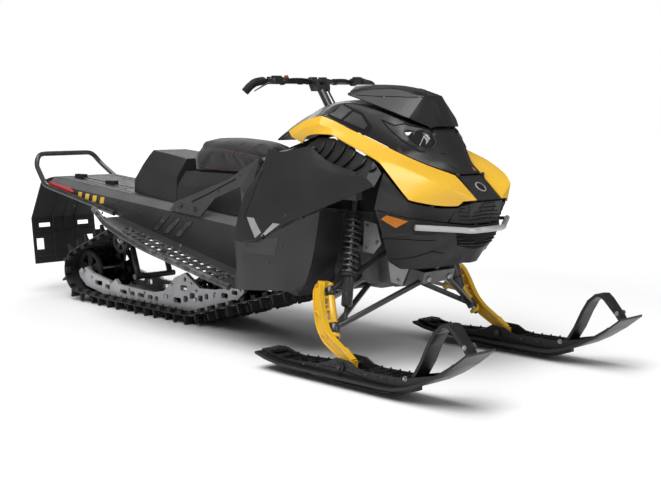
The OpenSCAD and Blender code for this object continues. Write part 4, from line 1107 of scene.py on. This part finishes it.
badge = Piece("nose_badge", "chassis", "grey_plastic")
spot, normal = seat(mm(1259, 0, 711), cowlTree)
badge.turned(spot - normal * 0.002, normal, [(0.024, 0), (0.024, 0.004), (0.0215, 0.0055), (0.0205, 0.0045)],
             "paneBlack", 40)
badge.ring(spot + normal * 0.001, normal, [(0.0205, 0), (0.024, 0), (0.024, 0.0035), (0.0205, 0.0045)],
           "markSilver", 40)
# painted shade: dark matte beads along the cowl grooves stand in for the shade inside them
for y in (-62, 62):
    bead(badge, points([(1190, y * 1.25, 770), (1225, y * 1.1, 745), (1255, y, 712), (1268, y * 0.8, 690)]),
         cowlTree,
         0.0022, "paintedShadeBlack", -0.0006)
badge.finish(bevel=0.0004)

grille = Piece("grille_ribs", "chassis", "black_plastic")
grilleLow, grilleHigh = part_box("front_grille")
for k in range(5):
    z = grilleLow.z + (grilleHigh.z - grilleLow.z) * (0.14 + 0.18 * k)
    y = (0.86 - 0.03 * abs(k - 2)) * grilleHigh.y
    row = [Vector((grilleHigh.x - abs(t) * 0.04, y * t, z)) for t in (-1, -0.75, -0.5, -0.25, 0, 0.25, 0.5,
                                                                      0.75, 1)]
    bead(grille, row, grilleTree, 0.0042, "satinBlack", 0.0025, 0.02, 8, 0.7)
for y in (-105, -35, 35, 105):
    row = [Vector((grilleHigh.x, y / 1000, z)) for z in (grilleLow.z + 0.012,
                                                         (grilleLow.z + grilleHigh.z) / 2,
                                                        grilleHigh.z - 0.012)]
    bead(grille, row, grilleTree, 0.003, "grainedBlack", 0.001, 0.02)
# painted shade: a dark matte sheet behind the lower ribs stands in for the shade in the opening
lay(grille, points([(1255, -128, 548), (1262, -60, 550), (1264, 0, 551), (1262, 60, 550), (1255, 128, 548),
                    (1240, 104, 497), (1245, 50, 484), (1248, 0, 480), (1245, -50, 484), (1240, -104, 497)]),
    noseTree,
    "paintedShadeBlack", 0.001, facing=Vector((1, 0, -0.15)))
for k, z in enumerate((540, 526, 512, 498)):
    y = 122 - 7 * k
    bead(grille, points([(1250, -y, z), (1256, -y / 2, z), (1258, 0, z), (1256, y / 2, z), (1250, y, z)]),
         noseTree,
         0.0036, "satinBlack", 0.003, 0.02, 8, 0.7)
grille.finish(bevel=0)

nose = Piece("nose_reflectors_and_ridges", "chassis", "lamp_clear")
lay(nose, points([(1021, -302, 620), (1080, -280, 612), (1153, -241, 598), (1136, -261, 552),
                  (1053, -301, 539)]),
    noseTree, "glossBlack", 0.0012)
lay(nose, points([(1036, -299, 596), (1056, -289, 611), (1135, -258, 592), (1093, -280, 566)]), noseTree,
    "lampAmber",
    0.0036)
bead(nose, points([(1008, -218, 434), (1098, -184, 448), (1168, -158, 474), (1191, -123, 468)]), noseTree,
     0.0034,
     "satinBlack", 0.001)
# painted shade: a dark matte bead along the groove stands in for the shade inside it
bead(nose, points([(1045, -300, 520), (1130, -262, 512), (1215, -190, 505)]), noseTree, 0.0024, "paintedShadeBlack",
     -0.0006)
for p in ((1015, -295, 640), (1048, -303, 532), (1160, -235, 540), (1010, -218, 470)):
    spot, normal = seat(mm(*p), noseTree)
    nose.turned(spot - normal * 0.001, normal, [(0.0062, 0), (0.0062, 0.002), (0.004, 0.0032),
                                                (0.0015, 0.0026)],
                "boltBlack", 16)
nose.mirror()
nose.finish(bevel=0.0005, segments=1)

panels = Piece("side_panel_details", "chassis", "grey_plastic")
lay(panels, points([(398, -405, 566), (446, -410, 566), (512, -429, 514), (480, -434, 490)]), sideTree,
    "markSilver",
    0.0009)
lay(panels, points([(516, -430, 500), (578, -425, 556), (622, -427, 556), (530, -430, 494)]), sideTree,
    "markSilver",
    0.0009)
lay(panels, points([(404, -428, 498), (622, -431, 506), (600, -435, 432), (404, -428, 420)]), lowTree,
    "paneGrey",
    0.0016)
# painted shade: a dark matte bead along the panel groove stands in for the shade inside it
bead(panels, points([(417, -338, 744), (397, -385, 633), (375, -402, 560)]), sideTree, 0.003, "paintedShadeBlack",
     -0.0012)
for p in ((395, -340, 760), (372, -395, 600), (640, -420, 590), (780, -372, 690), (960, -350, 790)):
    spot, normal = seat(mm(*p), sideTree)
    panels.turned(spot - normal * 0.001, normal,
                  [(0.0075, 0), (0.0075, 0.0022), (0.005, 0.0036), (0.002, 0.003)],
                  "boltBlack", 16)
for p in ((400, -428, 400), (640, -434, 470), (560, -436, 400), (420, -428, 530)):
    spot, normal = seat(mm(*p), lowTree)
    panels.turned(spot - normal * 0.001, normal,
                  [(0.0065, 0), (0.0065, 0.002), (0.0045, 0.0032), (0.002, 0.0026)],
                  "boltBlack", 16)
panels.mirror()
panels.finish(bevel=0.0005, segments=1)

ventTree = surface("side_vents")
vents = Piece("side_vent_louvres", "chassis", "black_plastic")
ventTop = points([(700, -268, 872), (762, -268, 872), (824, -270, 858), (884, -275, 840), (944, -281, 812),
                  (1000, -287, 786)])
ventLow = points([(668, -280, 812), (716, -290, 800), (772, -297, 786), (834, -303, 776), (896, -308, 766),
                  (952, -306, 760)])
for a, b in zip(ventTop, ventLow):
    bend = a.lerp(b, 0.5) + Vector((0.012, 0, 0.004))
    path = [seat(p, ventTree)[0] + seat(p, ventTree)[1] * 0.004 for p in curve([a, bend, b], 6)]
    vents.tube(path, [0.005 + 0.006 * math.sin(math.pi * i / (len(path) - 1)) for i in range(len(path))],
               "satinBlack",
               10, 0.6)
vents.mirror()
vents.finish(bevel=0)

visor = Piece("windshield_details", "chassis", "visor")
# painted shade: dark matte beads in the windshield grooves and a dark patch near its front stand in for the shade
# there
for path in ([(760, -150, 1052), (860, -130, 1052), (960, -95, 1048), (1030, -54, 1042)],
             [(700, -140, 1075), (820, -110, 1085), (930, -70, 1080)]):
    bead(visor, points(path), visorTree, 0.0022, "paintedShadeBlack", -0.0006)
lay(visor, points([(968, -71, 1059), (959, -22, 1069), (1010, -18, 1056), (1022, -52, 1046)]), visorTree,
    "paintedShadeBlack",
    0.001)
for p in ((720, -150, 1058), (880, -128, 1052), (1010, -64, 1046)):
    spot, normal = seat(mm(*p), visorTree)
    visor.turned(spot - normal * 0.001, normal, [(0.006, 0), (0.006, 0.002), (0.004, 0.003)], "boltBlack", 16)
visor.mirror()
visor.finish(bevel=0.0004, segments=1)

# painted shade: flat dark matte boxes inside the body, behind the panels and the nose, stand in for the shade inside
# the hood
shadeSheets = Piece("painted_shade_sheets", "chassis", "black_plastic")
shadeSheets.prism(points([(450, -228, 610), (980, -228, 610), (1000, -228, 760), (900, -215, 830), (700, -215, 780),
                    (450, -228, 740)]), Vector((0, 0.456, 0)), "paintedShadeBlack")
shadeSheets.prism(points([(960, -170, 600), (1165, -150, 620), (1175, -140, 700), (1080, -150, 790),
                    (960, -170, 800)]),
            Vector((0, 0.32, 0)), "paintedShadeBlack")
shadeSheets.prism(points([(1080, -150, 500), (1195, -120, 510), (1212, -130, 560), (1205, -130, 650),
                    (1080, -150, 690)]),
            Vector((0, 0.26, 0)), "paintedShadeBlack")
shadeSheets.finish(bevel=0.004)
print("body details done")


# tunnel, deck and boards

deckSizes = {"height": 458.5, "slope": 0.072, "bevel": 36, "half": 220, "rear": -2438, "front": -640}


def deck(x):
    return deckSizes["height"] - deckSizes["slope"] * x


tunnel = Piece("tunnel_details", "chassis", "tunnel")
inner, outer = deckSizes["half"] - deckSizes["bevel"], deckSizes["half"]
out = Vector((0, -1, 1)).normalized()
rearX, frontX = deckSizes["rear"], deckSizes["front"]
tunnel.prism([at(rearX, -inner - 3, deck(rearX) - 2.6), at(frontX, -inner - 3, deck(frontX) - 2.6),
              at(frontX, -outer + 1.5, deck(frontX) - deckSizes["bevel"] + 2.1),
              at(rearX, -outer + 1.5, deck(rearX) - deckSizes["bevel"] + 2.1)], out * 0.0011, "bevelGrey")
tunnel.prism([at(-2410, -64, deck(-2410)), at(-1700, -64, deck(-1700)), at(-1680, -50, deck(-1680)),
              at(-1680, 0, deck(-1680)),
              at(-2410, 0, deck(-2410))], Vector((0, 0, 0.003)), "tunnelCoat")
for y, x0, x1 in ((-150, -2400, -1760), (-112, -2250, -1900)):
    tunnel.prism([at(x0, y - 5, deck(x0)), at(x1, y - 5, deck(x1)), at(x1, y + 5, deck(x1)),
                  at(x0, y + 5, deck(x0))],
                 Vector((0, 0, 0.0022)), "bevelGrey")
sideY = -deckSizes["half"]
tunnel.prism([at(x, sideY - 3, z) for x, z in ((-2434, 613), (-2434, 592), (-2300, 572), (-2212, 564),
                                               (-2196, 572),
                                               (-2236, 588))], Vector((0, -0.0009, 0)), "lampRed")
for i in range(4):                                         # yellow marks, plain bars
    x = -2172 + i * 66
    drop = -0.072 * i * 66
    tunnel.prism([at(x, sideY, 540 + drop), at(x + 34, sideY, 540 + drop), at(x + 46, sideY, 572 + drop),
                  at(x + 12, sideY, 572 + drop)], Vector((0, -0.0012, 0)), "yellowPaint")
for i in range(3):                                         # pressed slashes
    x = -1540 + i * 84
    z = 432 - i * 9
    edge = [at(x, sideY - 0.6, z), at(x + 46, sideY - 0.6, z), at(x + 142, sideY - 0.6, z + 76),
            at(x + 96, sideY - 0.6, z + 76)]
    tunnel.prism(edge, Vector((0, -0.0008, 0)), "braceGrey")
    tunnel.tube(along(edge + edge[:1], 0.02), 0.0026, "tunnelCoat", 8)
for x, z in ((-1857, 534), (-1815, 542), (-1075, 381), (-2300, 560), (-2380, 600), (-1640, 500), (-1440, 380),
             (-1250, 470), (-900, 440), (-2200, 500), (-1950, 480)):
    tunnel.turned(at(x, sideY + 0.4, z), Vector((0, -1, 0)), [(0.0068, 0), (0.0066, 0.0018), (0.004, 0.0034),
                                                             (0.0018, 0.0028)], "boltBlack", 16)
tunnel.mirror()
tunnel.finish(bevel=0.0007, segments=1)

boards = Piece("running_board_treads", "chassis", "board")
slope = math.atan(0.193)
boardTurn = Matrix.Rotation(slope, 3, "Y")


def boardZ(x):
    return 124 - 0.193 * x


for row, (y, start, count) in enumerate(((-315, -1600, 18), (-370, -1560, 16))):
    for i in range(count):
        x = start + i * 46
        for dy in (-17, 17):
            for dx in (-9, 0, 9):
                p = at(x + dx, y + dy, boardZ(x + dx) + 2)
                boards.add([p + Vector((-0.0036, -0.0022, -0.001)), p + Vector((0.0036, -0.0022, -0.001)),
                            p + Vector((0.0036, 0.0022, -0.001)), p + Vector((-0.0036, 0.0022, -0.001)),
                            p + Vector((-0.001, 0, 0.0062)), p + Vector((0.001, 0, 0.0062))],
                           [(3, 2, 1, 0), (0, 1, 5, 4), (2, 3, 4, 5), (1, 2, 5), (3, 0, 4)], "boardGrey")
        boards.box(at(x + 23, y, boardZ(x + 23) + 3), (0.006, 0.036, 0.004), "boardGrey", boardTurn)
for x, y in ((-790, -395), (-1000, -402), (-1200, -408), (-1340, -408), (-1800, -310), (-800, -235),
             (-1300, -235)):
    boards.bolt(at(x, y, boardZ(x) + 2), Vector((0.19, 0, 1)), 0.006, "steelBright")
boards.mirror()
boards.finish(bevel=0)

braces = Piece("brace_bolts_and_grooves", "chassis", "brace")
braceTree = surface("side_brace_right")
# painted shade: a dark matte bead along the brace groove stands in for the shade inside it
bead(braces, points([(-180, -232, 580), (-60, -236, 622), (60, -242, 668), (150, -252, 700)]), braceTree,
     0.0036,
     "paintedShadeBlack", -0.0012)
for p in ((-262, -232, 560), (-160, -232, 548)):
    spot, normal = seat(mm(*p), braceTree)
    braces.bolt(spot, Vector((0, -1, 0)), 0.0085, "boltBlack")
for p in ((180, -256, 716), (20, -238, 640)):
    spot, normal = seat(mm(*p), braceTree)
    braces.turned(spot - normal * 0.001, normal,
                  [(0.007, 0), (0.007, 0.002), (0.0045, 0.0034), (0.002, 0.0028)],
                  "boltBlack", 16)
braces.mirror()
braces.finish(bevel=0.0005, segments=1)

flap = Piece("snow_flap_ribs", "chassis", "flap")
flapTree = surface("snow_flap")
for y in (-70, 0, 70):
    for shift in (60, -60):
        bead(flap, [at(-2612 + shift, y, 540), at(-2672 + shift, y, 400), at(-2660 + shift, y, 300),
                    at(-2640 + shift, y, 175)], flapTree, 0.0042, "flapRubber", 0.0, 0.03)
for z, x in ((560, -2575), (330, -2662), (200, -2645)):
    for shift in (60, -60):
        bead(flap, [at(x + shift, y, z) for y in (-185, -100, 0, 100, 185)], flapTree, 0.0042, "flapRubber",
             0.0, 0.03)
for y in (-150, -50, 50, 150):
    flap.turned(at(-2468, y, 626) - Vector((0, 0, 0.003)), Vector((0.22, 0, 1)),
                [(0.008, 0), (0.008, 0.004), (0.005, 0.006)],
                "boltBlack", 16)
flap.finish(bevel=0)
print("tunnel details done")


# handlebar

podSizes = {"reach": 240, "body": (0.042, 0.052, 0.03), "lid": (0.026, 0.034, 0.006),
            "perch": (0.028, 0.022, 0.02), "toggle": (0.006, 0.014, 0.01), "screw": 0.0042}
bars = Piece("bar_levers_and_grips", "steering", "grip")
for sign in (-1, 1):
    grip = curve([at(-690, 370 * sign, 1062), at(-678, 357 * sign, 1082), at(-668, 340 * sign, 1098),
                  at(-668, 318 * sign, 1104), at(-668, 288 * sign, 1108)], 6)
    bars.tube(grip, 0.0155, "gripRubber", 20)
    ribs = along(grip, 0.0062)
    for i in range(1, len(ribs) - 1):
        bars.ring(ribs[i], ribs[i + 1] - ribs[i - 1], [(0.0148, -0.0016), (0.0168, -0.0011), (0.0168, 0.0011),
                                                      (0.0148, 0.0016)], "gripRubber", 24)
    lever = curve([at(-640, 262 * sign, 1106), at(-622, 285 * sign, 1103), at(-616, 320 * sign, 1094),
                   at(-622, 352 * sign, 1078), at(-634, 368 * sign, 1066)], 6)
    bars.tube(lever, [0.0056 - 0.0001 * i for i in range(len(lever))], "boltBlack", 12, 0.65)
    bars.turned(at(-638, 258 * sign, 1096), Vector((0, 0, 1)), [(0.0095, 0), (0.0095, 0.02), (0.007, 0.023)],
                "boltBlack", 18)
    for x in (-676, -660):                       # clamp bolts on the riser
        bars.bolt(at(x, 30 * sign, 1119), Vector((0, 0, 1)), 0.0048, "steelBright")
    bars.turned(at(-655, (100 * sign) - 12, 1108), Vector((0, 1, 0)),
                [(0.0125, 0), (0.0135, 0.002), (0.0135, 0.022),
                                                                     (0.0125, 0.024)], "grainedBlack", 20)
for sign in (-1, 1):                             # switch pods, lever perches and their lids
    pod = at(-655, podSizes["reach"] * sign, 1110)
    bars.box(pod, podSizes["body"], "grainedBlack")
    bars.box(pod + Vector((0.006, -0.004 * sign, 0.0165)), podSizes["lid"], "satinBlack")
    bars.box(pod + Vector((0.012, 0.034 * sign, -0.004)), podSizes["perch"], "boltBlack")
    bars.box(pod + Vector((0.022, 0.012 * sign, 0.002)), podSizes["toggle"], "satinBlack")
    bars.turned(pod + Vector((0.006, -0.044 * sign, -0.002)), Vector((0, sign, 0)),
                [(0.0155, 0), (0.0165, 0.002),
                                                                                  (0.0165, 0.016),
                 (0.0155, 0.018)],
                "boltBlack", 24)
    bars.bolt(pod + Vector((0.012, 0.034 * sign, 0.006)), upAxis, podSizes["screw"], "steelBright")
bars.turned(at(-650, -182, 1106), Vector((0, 0, 1)), [(0.012, 0), (0.012, 0.016), (0.0095, 0.019)],
            "grainedBlack", 20)
bars.turned(at(-650, -182, 1122), Vector((0, 0, 1)), [(0.0088, 0), (0.0088, 0.008), (0.0065, 0.0105)],
            "killRed", 20)
bars.turned(at(-626, 205, 1094), Vector((0, 0, 1)),
            [(0.0165, 0), (0.018, 0.002), (0.018, 0.028), (0.0192, 0.029),
                                                     (0.0192, 0.035), (0.016, 0.037)], "grainedBlack", 28)
bars.box(at(-640, 205, 1106), (0.026, 0.03, 0.014), "boltBlack")
for sign, reach in ((-1, 208), (1, 190)):        # hoses clipped along the bar and down the post
    hose = curve([at(-646, reach * sign, 1110), at(-640, 140 * sign, 1118), at(-636, 60 * sign, 1112),
                  at(-620, 26 * sign, 1080), at(-570, 24 * sign, 1010), at(-520, 22 * sign, 938),
                  at(-500, 20 * sign, 905)], 8)
    bars.tube(hose, 0.0042, "gripRubber", 10)
for p in (at(-655, -60, 1108), at(-655, 60, 1108)):
    bars.turned(p - Vector((0, 0.004, 0)), Vector((0, 1, 0)), [(0.0132, 0), (0.0132, 0.008)], "boltBlack", 20)
bars.finish(bevel=0.0014, segments=2, replaces=["bar_controls", "handgrips"])
print("bars done")


# skis and spindles

skiY = -457


spindleSizes = {
    "blade": [(-216, -366, 336), (-219, -392, 339), (-211, -417, 323), (-196, -431, 285), (-178, -440, 238),
              (-158, -448, 196), (-122, -455, 157), (-72, -457, 127), (-22, -457, 101), (8, -457, 84)],
    "width": (22, 30, 38, 43, 46, 48, 46, 42, 38, 34), "flange": 7, "deep": 24, "web": 11,
}


def skiDetails(side, sign):
    ski = "ski_" + side
    tree = surface(ski)
    body = "steer_" + side
    trim = Piece("ski_details_" + side, body, "ski")

    def put(x, y, z):
        return at(x, y * sign, z)

    def drop(x, y, z=190):                                 # the first surface below a place
        return tree.ray_cast(put(x, y, z), Vector((0, 0, -1)), 0.3)[0]

    outward = Vector((0, -sign, 0))
    for x in list(range(-330, -95, 56)) + list(range(112, 300, 44)):       # cross fins between the walls
        wall = drop(x, skiY - 46, 150)
        if wall:
            trim.box(Vector((wall.x, skiY * sign / 1000, wall.z - 0.009)), (0.0035, 0.086, 0.02),
                     "skiPlastic")
            for y in (skiY - 46, skiY + 46):
                trim.box(Vector((wall.x, y * sign / 1000, wall.z)), (0.004, 0.0075, 0.01), "skiPlastic")
    for x in range(-300, 300, 40):                         # pressed lines on the walls' outer faces
        for y, n in ((skiY - 90, 1), (skiY + 90, -1)):
            top = drop(x, skiY - 46, 150)
            if not top:
                continue
            line = []
            for z in (top.z - 0.006, top.z - 0.014, top.z - 0.022):
                hit, normal, _, _ = tree.ray_cast(Vector((top.x, y * sign / 1000, z)),
                                                  Vector((0, n * sign, 0)), 0.06)
                if hit:
                    line.append(hit + normal * 0.0002)
            if len(line) == 3:
                trim.tube(line, 0.0018, "satinBlack", 6)
    for y in (skiY - 77, skiY + 77):                       # rolled rim
        row = [drop(x, y, 280 if x > 330 else 120) for x in range(-430, 560, 15)]
        row = [p + Vector((0, 0, 0.0004)) for p in row if p]
        if len(row) > 6:
            trim.tube(row, 0.0024, "satinBlack", 8)
    tail = drop(-415, skiY, 200)
    if tail:
        trim.box(tail + Vector((0, 0, 0.007)), (0.05, 0.092, 0.014), "skiPlastic")
        for dy in (-0.03, 0, 0.03):
            trim.box(tail + Vector((0.004, dy, 0.015)), (0.036, 0.007, 0.004), "satinBlack")
    for n in (1, -1):
        trim.bolt(put(0, skiY - 56 * n, 76), outward * n, 0.0115, "boltBlack")
        for x in (-200, -120, 120, 200):
            top = drop(x, skiY - 46, 150)
            if top:
                hit, normal, _, _ = tree.ray_cast(Vector((top.x, (skiY - 90 * n) * sign / 1000,
                                                          top.z - 0.012)), -outward * n, 0.06)
                if hit:
                    trim.turned(hit - normal * 0.001, normal,
                                [(0.0055, 0), (0.0055, 0.002), (0.004, 0.0034)], "boltBlack", 14)
        hit, normal, _, _ = tree.find_nearest(put(308, skiY - 60 * n, 84))
        trim.bolt(hit, outward * n, 0.0068, "steelBright")
        hit, normal, _, _ = tree.find_nearest(put(546, skiY - 40 * n, 224))
        trim.bolt(hit, outward * n, 0.0062, "steelBright")
    for dy in (-5, 5):                                     # steel wear rods beside the keel
        row = [tree.find_nearest(put(x, skiY + dy * 2.6, -20))[0] for x in range(-220, 230, 25)]
        row = [p + Vector((0, 0, 0.0012)) for p in row]
        trim.tube(row, 0.003, "steelBright", 8)
    trim.finish(bevel=0.0006, segments=1)

    forged = Piece("spindle_forging_" + side, body, "yellow_metal")
    spec = spindleSizes
    path = curve([put(*p) for p in spec["blade"]], 4)
    last = len(path) - 1
    widths = []
    for i in range(len(path)):
        t = i / last * (len(spec["width"]) - 1)
        k = min(int(t), len(spec["width"]) - 2)
        widths.append((spec["width"][k] + (spec["width"][k + 1] - spec["width"][k]) * (t - k)) / 1000)
    hint = Vector((0, 1, 0))
    flange = spec["flange"] / 1000
    start = 6                                              # the hook's end is solid, the blade has a web
    forged.beam(path[:start + 2], widths[:start + 2], spec["deep"] / 1000, "yellowForged",
                hint + Vector((0, 0, 0.9)))
    forged.beam(path[start:], [w - flange for w in widths[start:]], spec["web"] / 1000, "yellowForged", hint)
    for edge in (-1, 1):
        rim = []
        for i in range(start, len(path)):
            way = (path[min(i + 1, last)] - path[max(i - 1, 0)]).normalized()
            face = way.cross((hint - way * hint.dot(way)).normalized())
            rim.append(path[i] + face * edge * (widths[i] - flange) / 2)
        forged.beam(rim, flange, spec["deep"] / 1000, "yellowForged", hint)
    for i in (16, 23):                                     # cross webs of the forging
        forged.box(path[i], (widths[i] * 0.8, spec["deep"] / 1000 - 0.002, 0.006), "yellowForged",
                   Matrix.Rotation(math.radians(25), 3, "Y"))
    knee = put(-140, -405, 182)
    king = Vector((-65, 40 * sign, 128)).normalized()
    forged.turned(knee - king * 0.024, king, [(0.008, 0), (0.008, 0.188)], "steelBright", 24)
    forged.turned(knee + king * 0.02, king, [(0.0155, 0), (0.017, 0.003), (0.017, 0.107), (0.0155, 0.11)],
                  "yellowForged", 32)
    forged.turned(knee - king * 0.0385, king, [(0.0195, 0), (0.021, 0.003), (0.021, 0.012),
                                               (0.0195, 0.0145)], "yellowForged", 32)
    forged.turned(knee + king * 0.1665, king, [(0.0155, 0), (0.018, 0.003), (0.018, 0.012), (0.014, 0.0165)],
                  "yellowForged", 32)
    forged.beam([knee - king * 0.031, (knee - king * 0.031).lerp(put(-146, -449, 170), 0.6),
                 put(-146, -451, 172)],
                [0.03, 0.028, 0.03], 0.016, "yellowForged", king)
    for a in (0.03, 0.075, 0.12):                          # ribs from the kingpin boss to the blade
        foot = path[min(last, int(last * (0.62 - a * 2.4)))]
        forged.beam([knee + king * a, foot], [0.016, 0.02], 0.012, "yellowForged", king)
    mid, eye = knee + king * 0.07, put(-252, -372, 250)
    forged.beam([mid, mid.lerp(eye, 0.5), eye], [0.026, 0.022, 0.02], 0.018, "yellowForged", upAxis)
    forged.turned(eye - upAxis * 0.011, upAxis, [(0.0125, 0), (0.014, 0.002), (0.014, 0.02), (0.0125, 0.022)],
                  "yellowForged", 28)
    forged.bolt(eye + upAxis * 0.0125, upAxis, 0.0075, "steelBright")
    forged.turned(eye - upAxis * 0.0105, -upAxis, [(0.0085, 0), (0.0085, 0.004), (0.006, 0.008)],
                  "steelBright", 18)
    forged.bolt(knee - king * 0.0385, -king, 0.0085, "boltBlack")
    forged.bolt(knee + king * 0.1825, king, 0.0075, "boltBlack")
    forged.box(put(0, skiY, 76), (0.04, 0.034, 0.034), "yellowForged")
    forged.beam([put(-46, skiY + 1, 115), put(-22, skiY, 98), put(4, skiY, 80)], [0.042, 0.038, 0.034], 0.03,
                "yellowForged", hint)
    forged.turned(put(0, skiY - 56, 76), Vector((0, sign, 0)), [(0.008, 0), (0.008, 0.112)], "steelBright",
                  20)
    forged.finish(bevel=0.0022, segments=2, smooth=30, replaces=["spindle_" + side])


skiDetails("right", 1)
skiDetails("left", -1)
print("skis done")


# front frame, engine and small hardware

chassisBits = Piece("front_frame_details", "chassis", "alloy")
# painted light: these two plates are brightened to a pale grey that stands in for their bright reflection while they
# sit in shade
chassisBits.prism(points([(818, -158, 566), (884, -158, 556), (908, -158, 482), (868, -158, 440),
                          (812, -158, 444)]),
                  Vector((0, -0.004, 0)), "platePaintedLight")
chassisBits.prism(points([(884, -96, 430), (990, -96, 424), (1000, -96, 396), (962, -96, 318),
                          (905, -96, 326)]),
                  Vector((0, -0.004, 0)), "platePaintedLight")
for p in ((836, -162, 546), (890, -162, 486), (832, -162, 458)):
    chassisBits.bolt(mm(*p), Vector((0, -1, 0)), 0.0065, "steelBright")
for p in ((905, -100, 408), (972, -100, 404), (945, -100, 336)):
    chassisBits.bolt(mm(*p), Vector((0, -1, 0)), 0.0065, "steelBright")
for p in ((10, -60, 352), (-245, -80, 330), (-142, -80, 462), (-326, -110, 428)):      # arm pivot bolts
    chassisBits.turned(at(p[0] + 14, p[1], p[2]), Vector((1, 0, 0)),
                       [(0.0115, 0), (0.0115, 0.004), (0.008, 0.007)],
                       "steelBright", 18)
engineLow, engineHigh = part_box("engine")
for k in range(9):                                          # cooling fins on the engine's sides
    z = engineLow.z + 0.03 + k * 0.022
    if z < engineHigh.z - 0.02:
        middle = (engineLow.x + engineHigh.x) / 2
        chassisBits.box(Vector((middle, engineLow.y - 0.004, z)),
                        (engineHigh.x - engineLow.x - 0.03, 0.012, 0.005),
                        "castAlloy")
chassisBits.mirror()
chassisBits.finish(bevel=0.0006, segments=1)
print("hardware done")


# floor, light and camera

stageSizes = {"floor": 60.0, "floorTone": rgb(0.9, 0.9, 0.9), "sky": 0.12,
              "lamps": [("keySoftbox", (1.5, -3.6, 4.6), (0, 0, 0.4), 3.0, 125),
                        ("frontSoftbox", (5.2, 1.2, 2.8), (0.4, 0, 0.5), 2.4, 42),
                        ("backStrip", (-4.2, 2.8, 3.4), (-0.3, 0, 0.5), 2.6, 55),
                        ("overheadSoftbox", (-0.6, -0.4, 5.6), (0, 0, 0), 3.2, 55)],
              "fade": (2.2, 6.0), "farGlow": 0.45, "sun": 2.15, "sunSpread": 50, "sunFrom": (1.2, -2.6, 6.0)}
floorMesh = bpy.data.meshes.new("floor")
reach = stageSizes["floor"] / 2
floorMesh.from_pydata([(-reach, -reach, -0.0005), (reach, -reach, -0.0005), (reach, reach, -0.0005),
                       (-reach, reach, -0.0005)], [], [(0, 1, 2, 3)])
floor = bpy.data.objects.new("floor", floorMesh)
bpy.context.scene.collection.objects.link(floor)
floorLook = finish("paleFloor", stageSizes["floorTone"], rgb(0.88, 0.88, 0.885), 0.75, specular=0.2,
                   grain=60, bump=0.02, patch=0.4)
floorMesh.materials.append(floorLook)
# far floor brightens into the backdrop, only as seen directly
floorTree = floorLook.node_tree
floorBase = next(n for n in floorTree.nodes if n.type == "BSDF_PRINCIPLED")
floorBase.inputs["Emission Color"].default_value = rgb(1, 1, 1)
spread = node(floorTree, "VectorMath", operation="LENGTH")
floorTree.links.new(node(floorTree, "TexCoord").outputs["Object"], spread.inputs[0])
away = mapRange(floorTree, spread.outputs["Value"], *stageSizes["fade"], 0, stageSizes["farGlow"])
direct = node(floorTree, "Math", operation="MULTIPLY")
floorTree.links.new(away, direct.inputs[0])
floorTree.links.new(node(floorTree, "LightPath").outputs["Is Camera Ray"], direct.inputs[1])
floorTree.links.new(direct.outputs[0], floorBase.inputs["Emission Strength"])

sky = bpy.data.worlds.new("studio")
sky.use_nodes = True
skyTree = sky.node_tree
skyTree.nodes["Background"].inputs["Color"].default_value = rgb(1, 1, 1)
seen = node(skyTree, "LightPath")                  # white behind the machine, dimmer in its reflections
skyTree.links.new(mapRange(skyTree, seen.outputs["Is Camera Ray"], 0, 1, stageSizes["sky"], 1.0),
                  skyTree.nodes["Background"].inputs["Strength"])
bpy.context.scene.world = sky


def lookAt(thing, place, target):
    thing.location = place
    thing.rotation_euler = (Vector(target) - Vector(place)).to_track_quat("-Z", "Y").to_euler()


for name, place, target, size, power in stageSizes["lamps"]:
    lamp = bpy.data.lights.new(name, "AREA")
    lamp.shape = "SQUARE"
    lamp.size = size
    lamp.energy = power
    holder = bpy.data.objects.new(name, lamp)
    bpy.context.scene.collection.objects.link(holder)
    lookAt(holder, place, target)

sun = bpy.data.lights.new("roomLight", "SUN")
sun.energy = stageSizes["sun"]
sun.angle = math.radians(stageSizes["sunSpread"])
sun.specular_factor = 0.25
sunHolder = bpy.data.objects.new("roomLight", sun)
bpy.context.scene.collection.objects.link(sunHolder)
lookAt(sunHolder, stageSizes["sunFrom"], (0, 0, 0))

cameraSizes = {"place": (3.990, -3.4528, 1.0243), "yaw": 135.589, "pitch": -6.683, "roll": 0.167,
               "lens": 64.2}
yaw, pitch, roll = (math.radians(cameraSizes[k]) for k in ("yaw", "pitch", "roll"))
ahead = Vector((math.cos(pitch) * math.cos(yaw), math.cos(pitch) * math.sin(yaw), math.sin(pitch)))
right = ahead.cross(upAxis).normalized()
above = right.cross(ahead)
rightTurned = right * math.cos(roll) + above * math.sin(roll)
aboveTurned = above * math.cos(roll) - right * math.sin(roll)
lens = bpy.data.cameras.new("camera")
lens.lens = cameraSizes["lens"]
lens.sensor_width = 36
lens.clip_end = 200
camera = bpy.data.objects.new("camera", lens)
bpy.context.scene.collection.objects.link(camera)
camera.matrix_world = Matrix.Translation(cameraSizes["place"]) @ Matrix(
    (rightTurned, aboveTurned, -ahead)).transposed().to_4x4()
bpy.context.scene.camera = camera
bpy.context.scene.view_settings.view_transform = "Standard"
print("stage done")
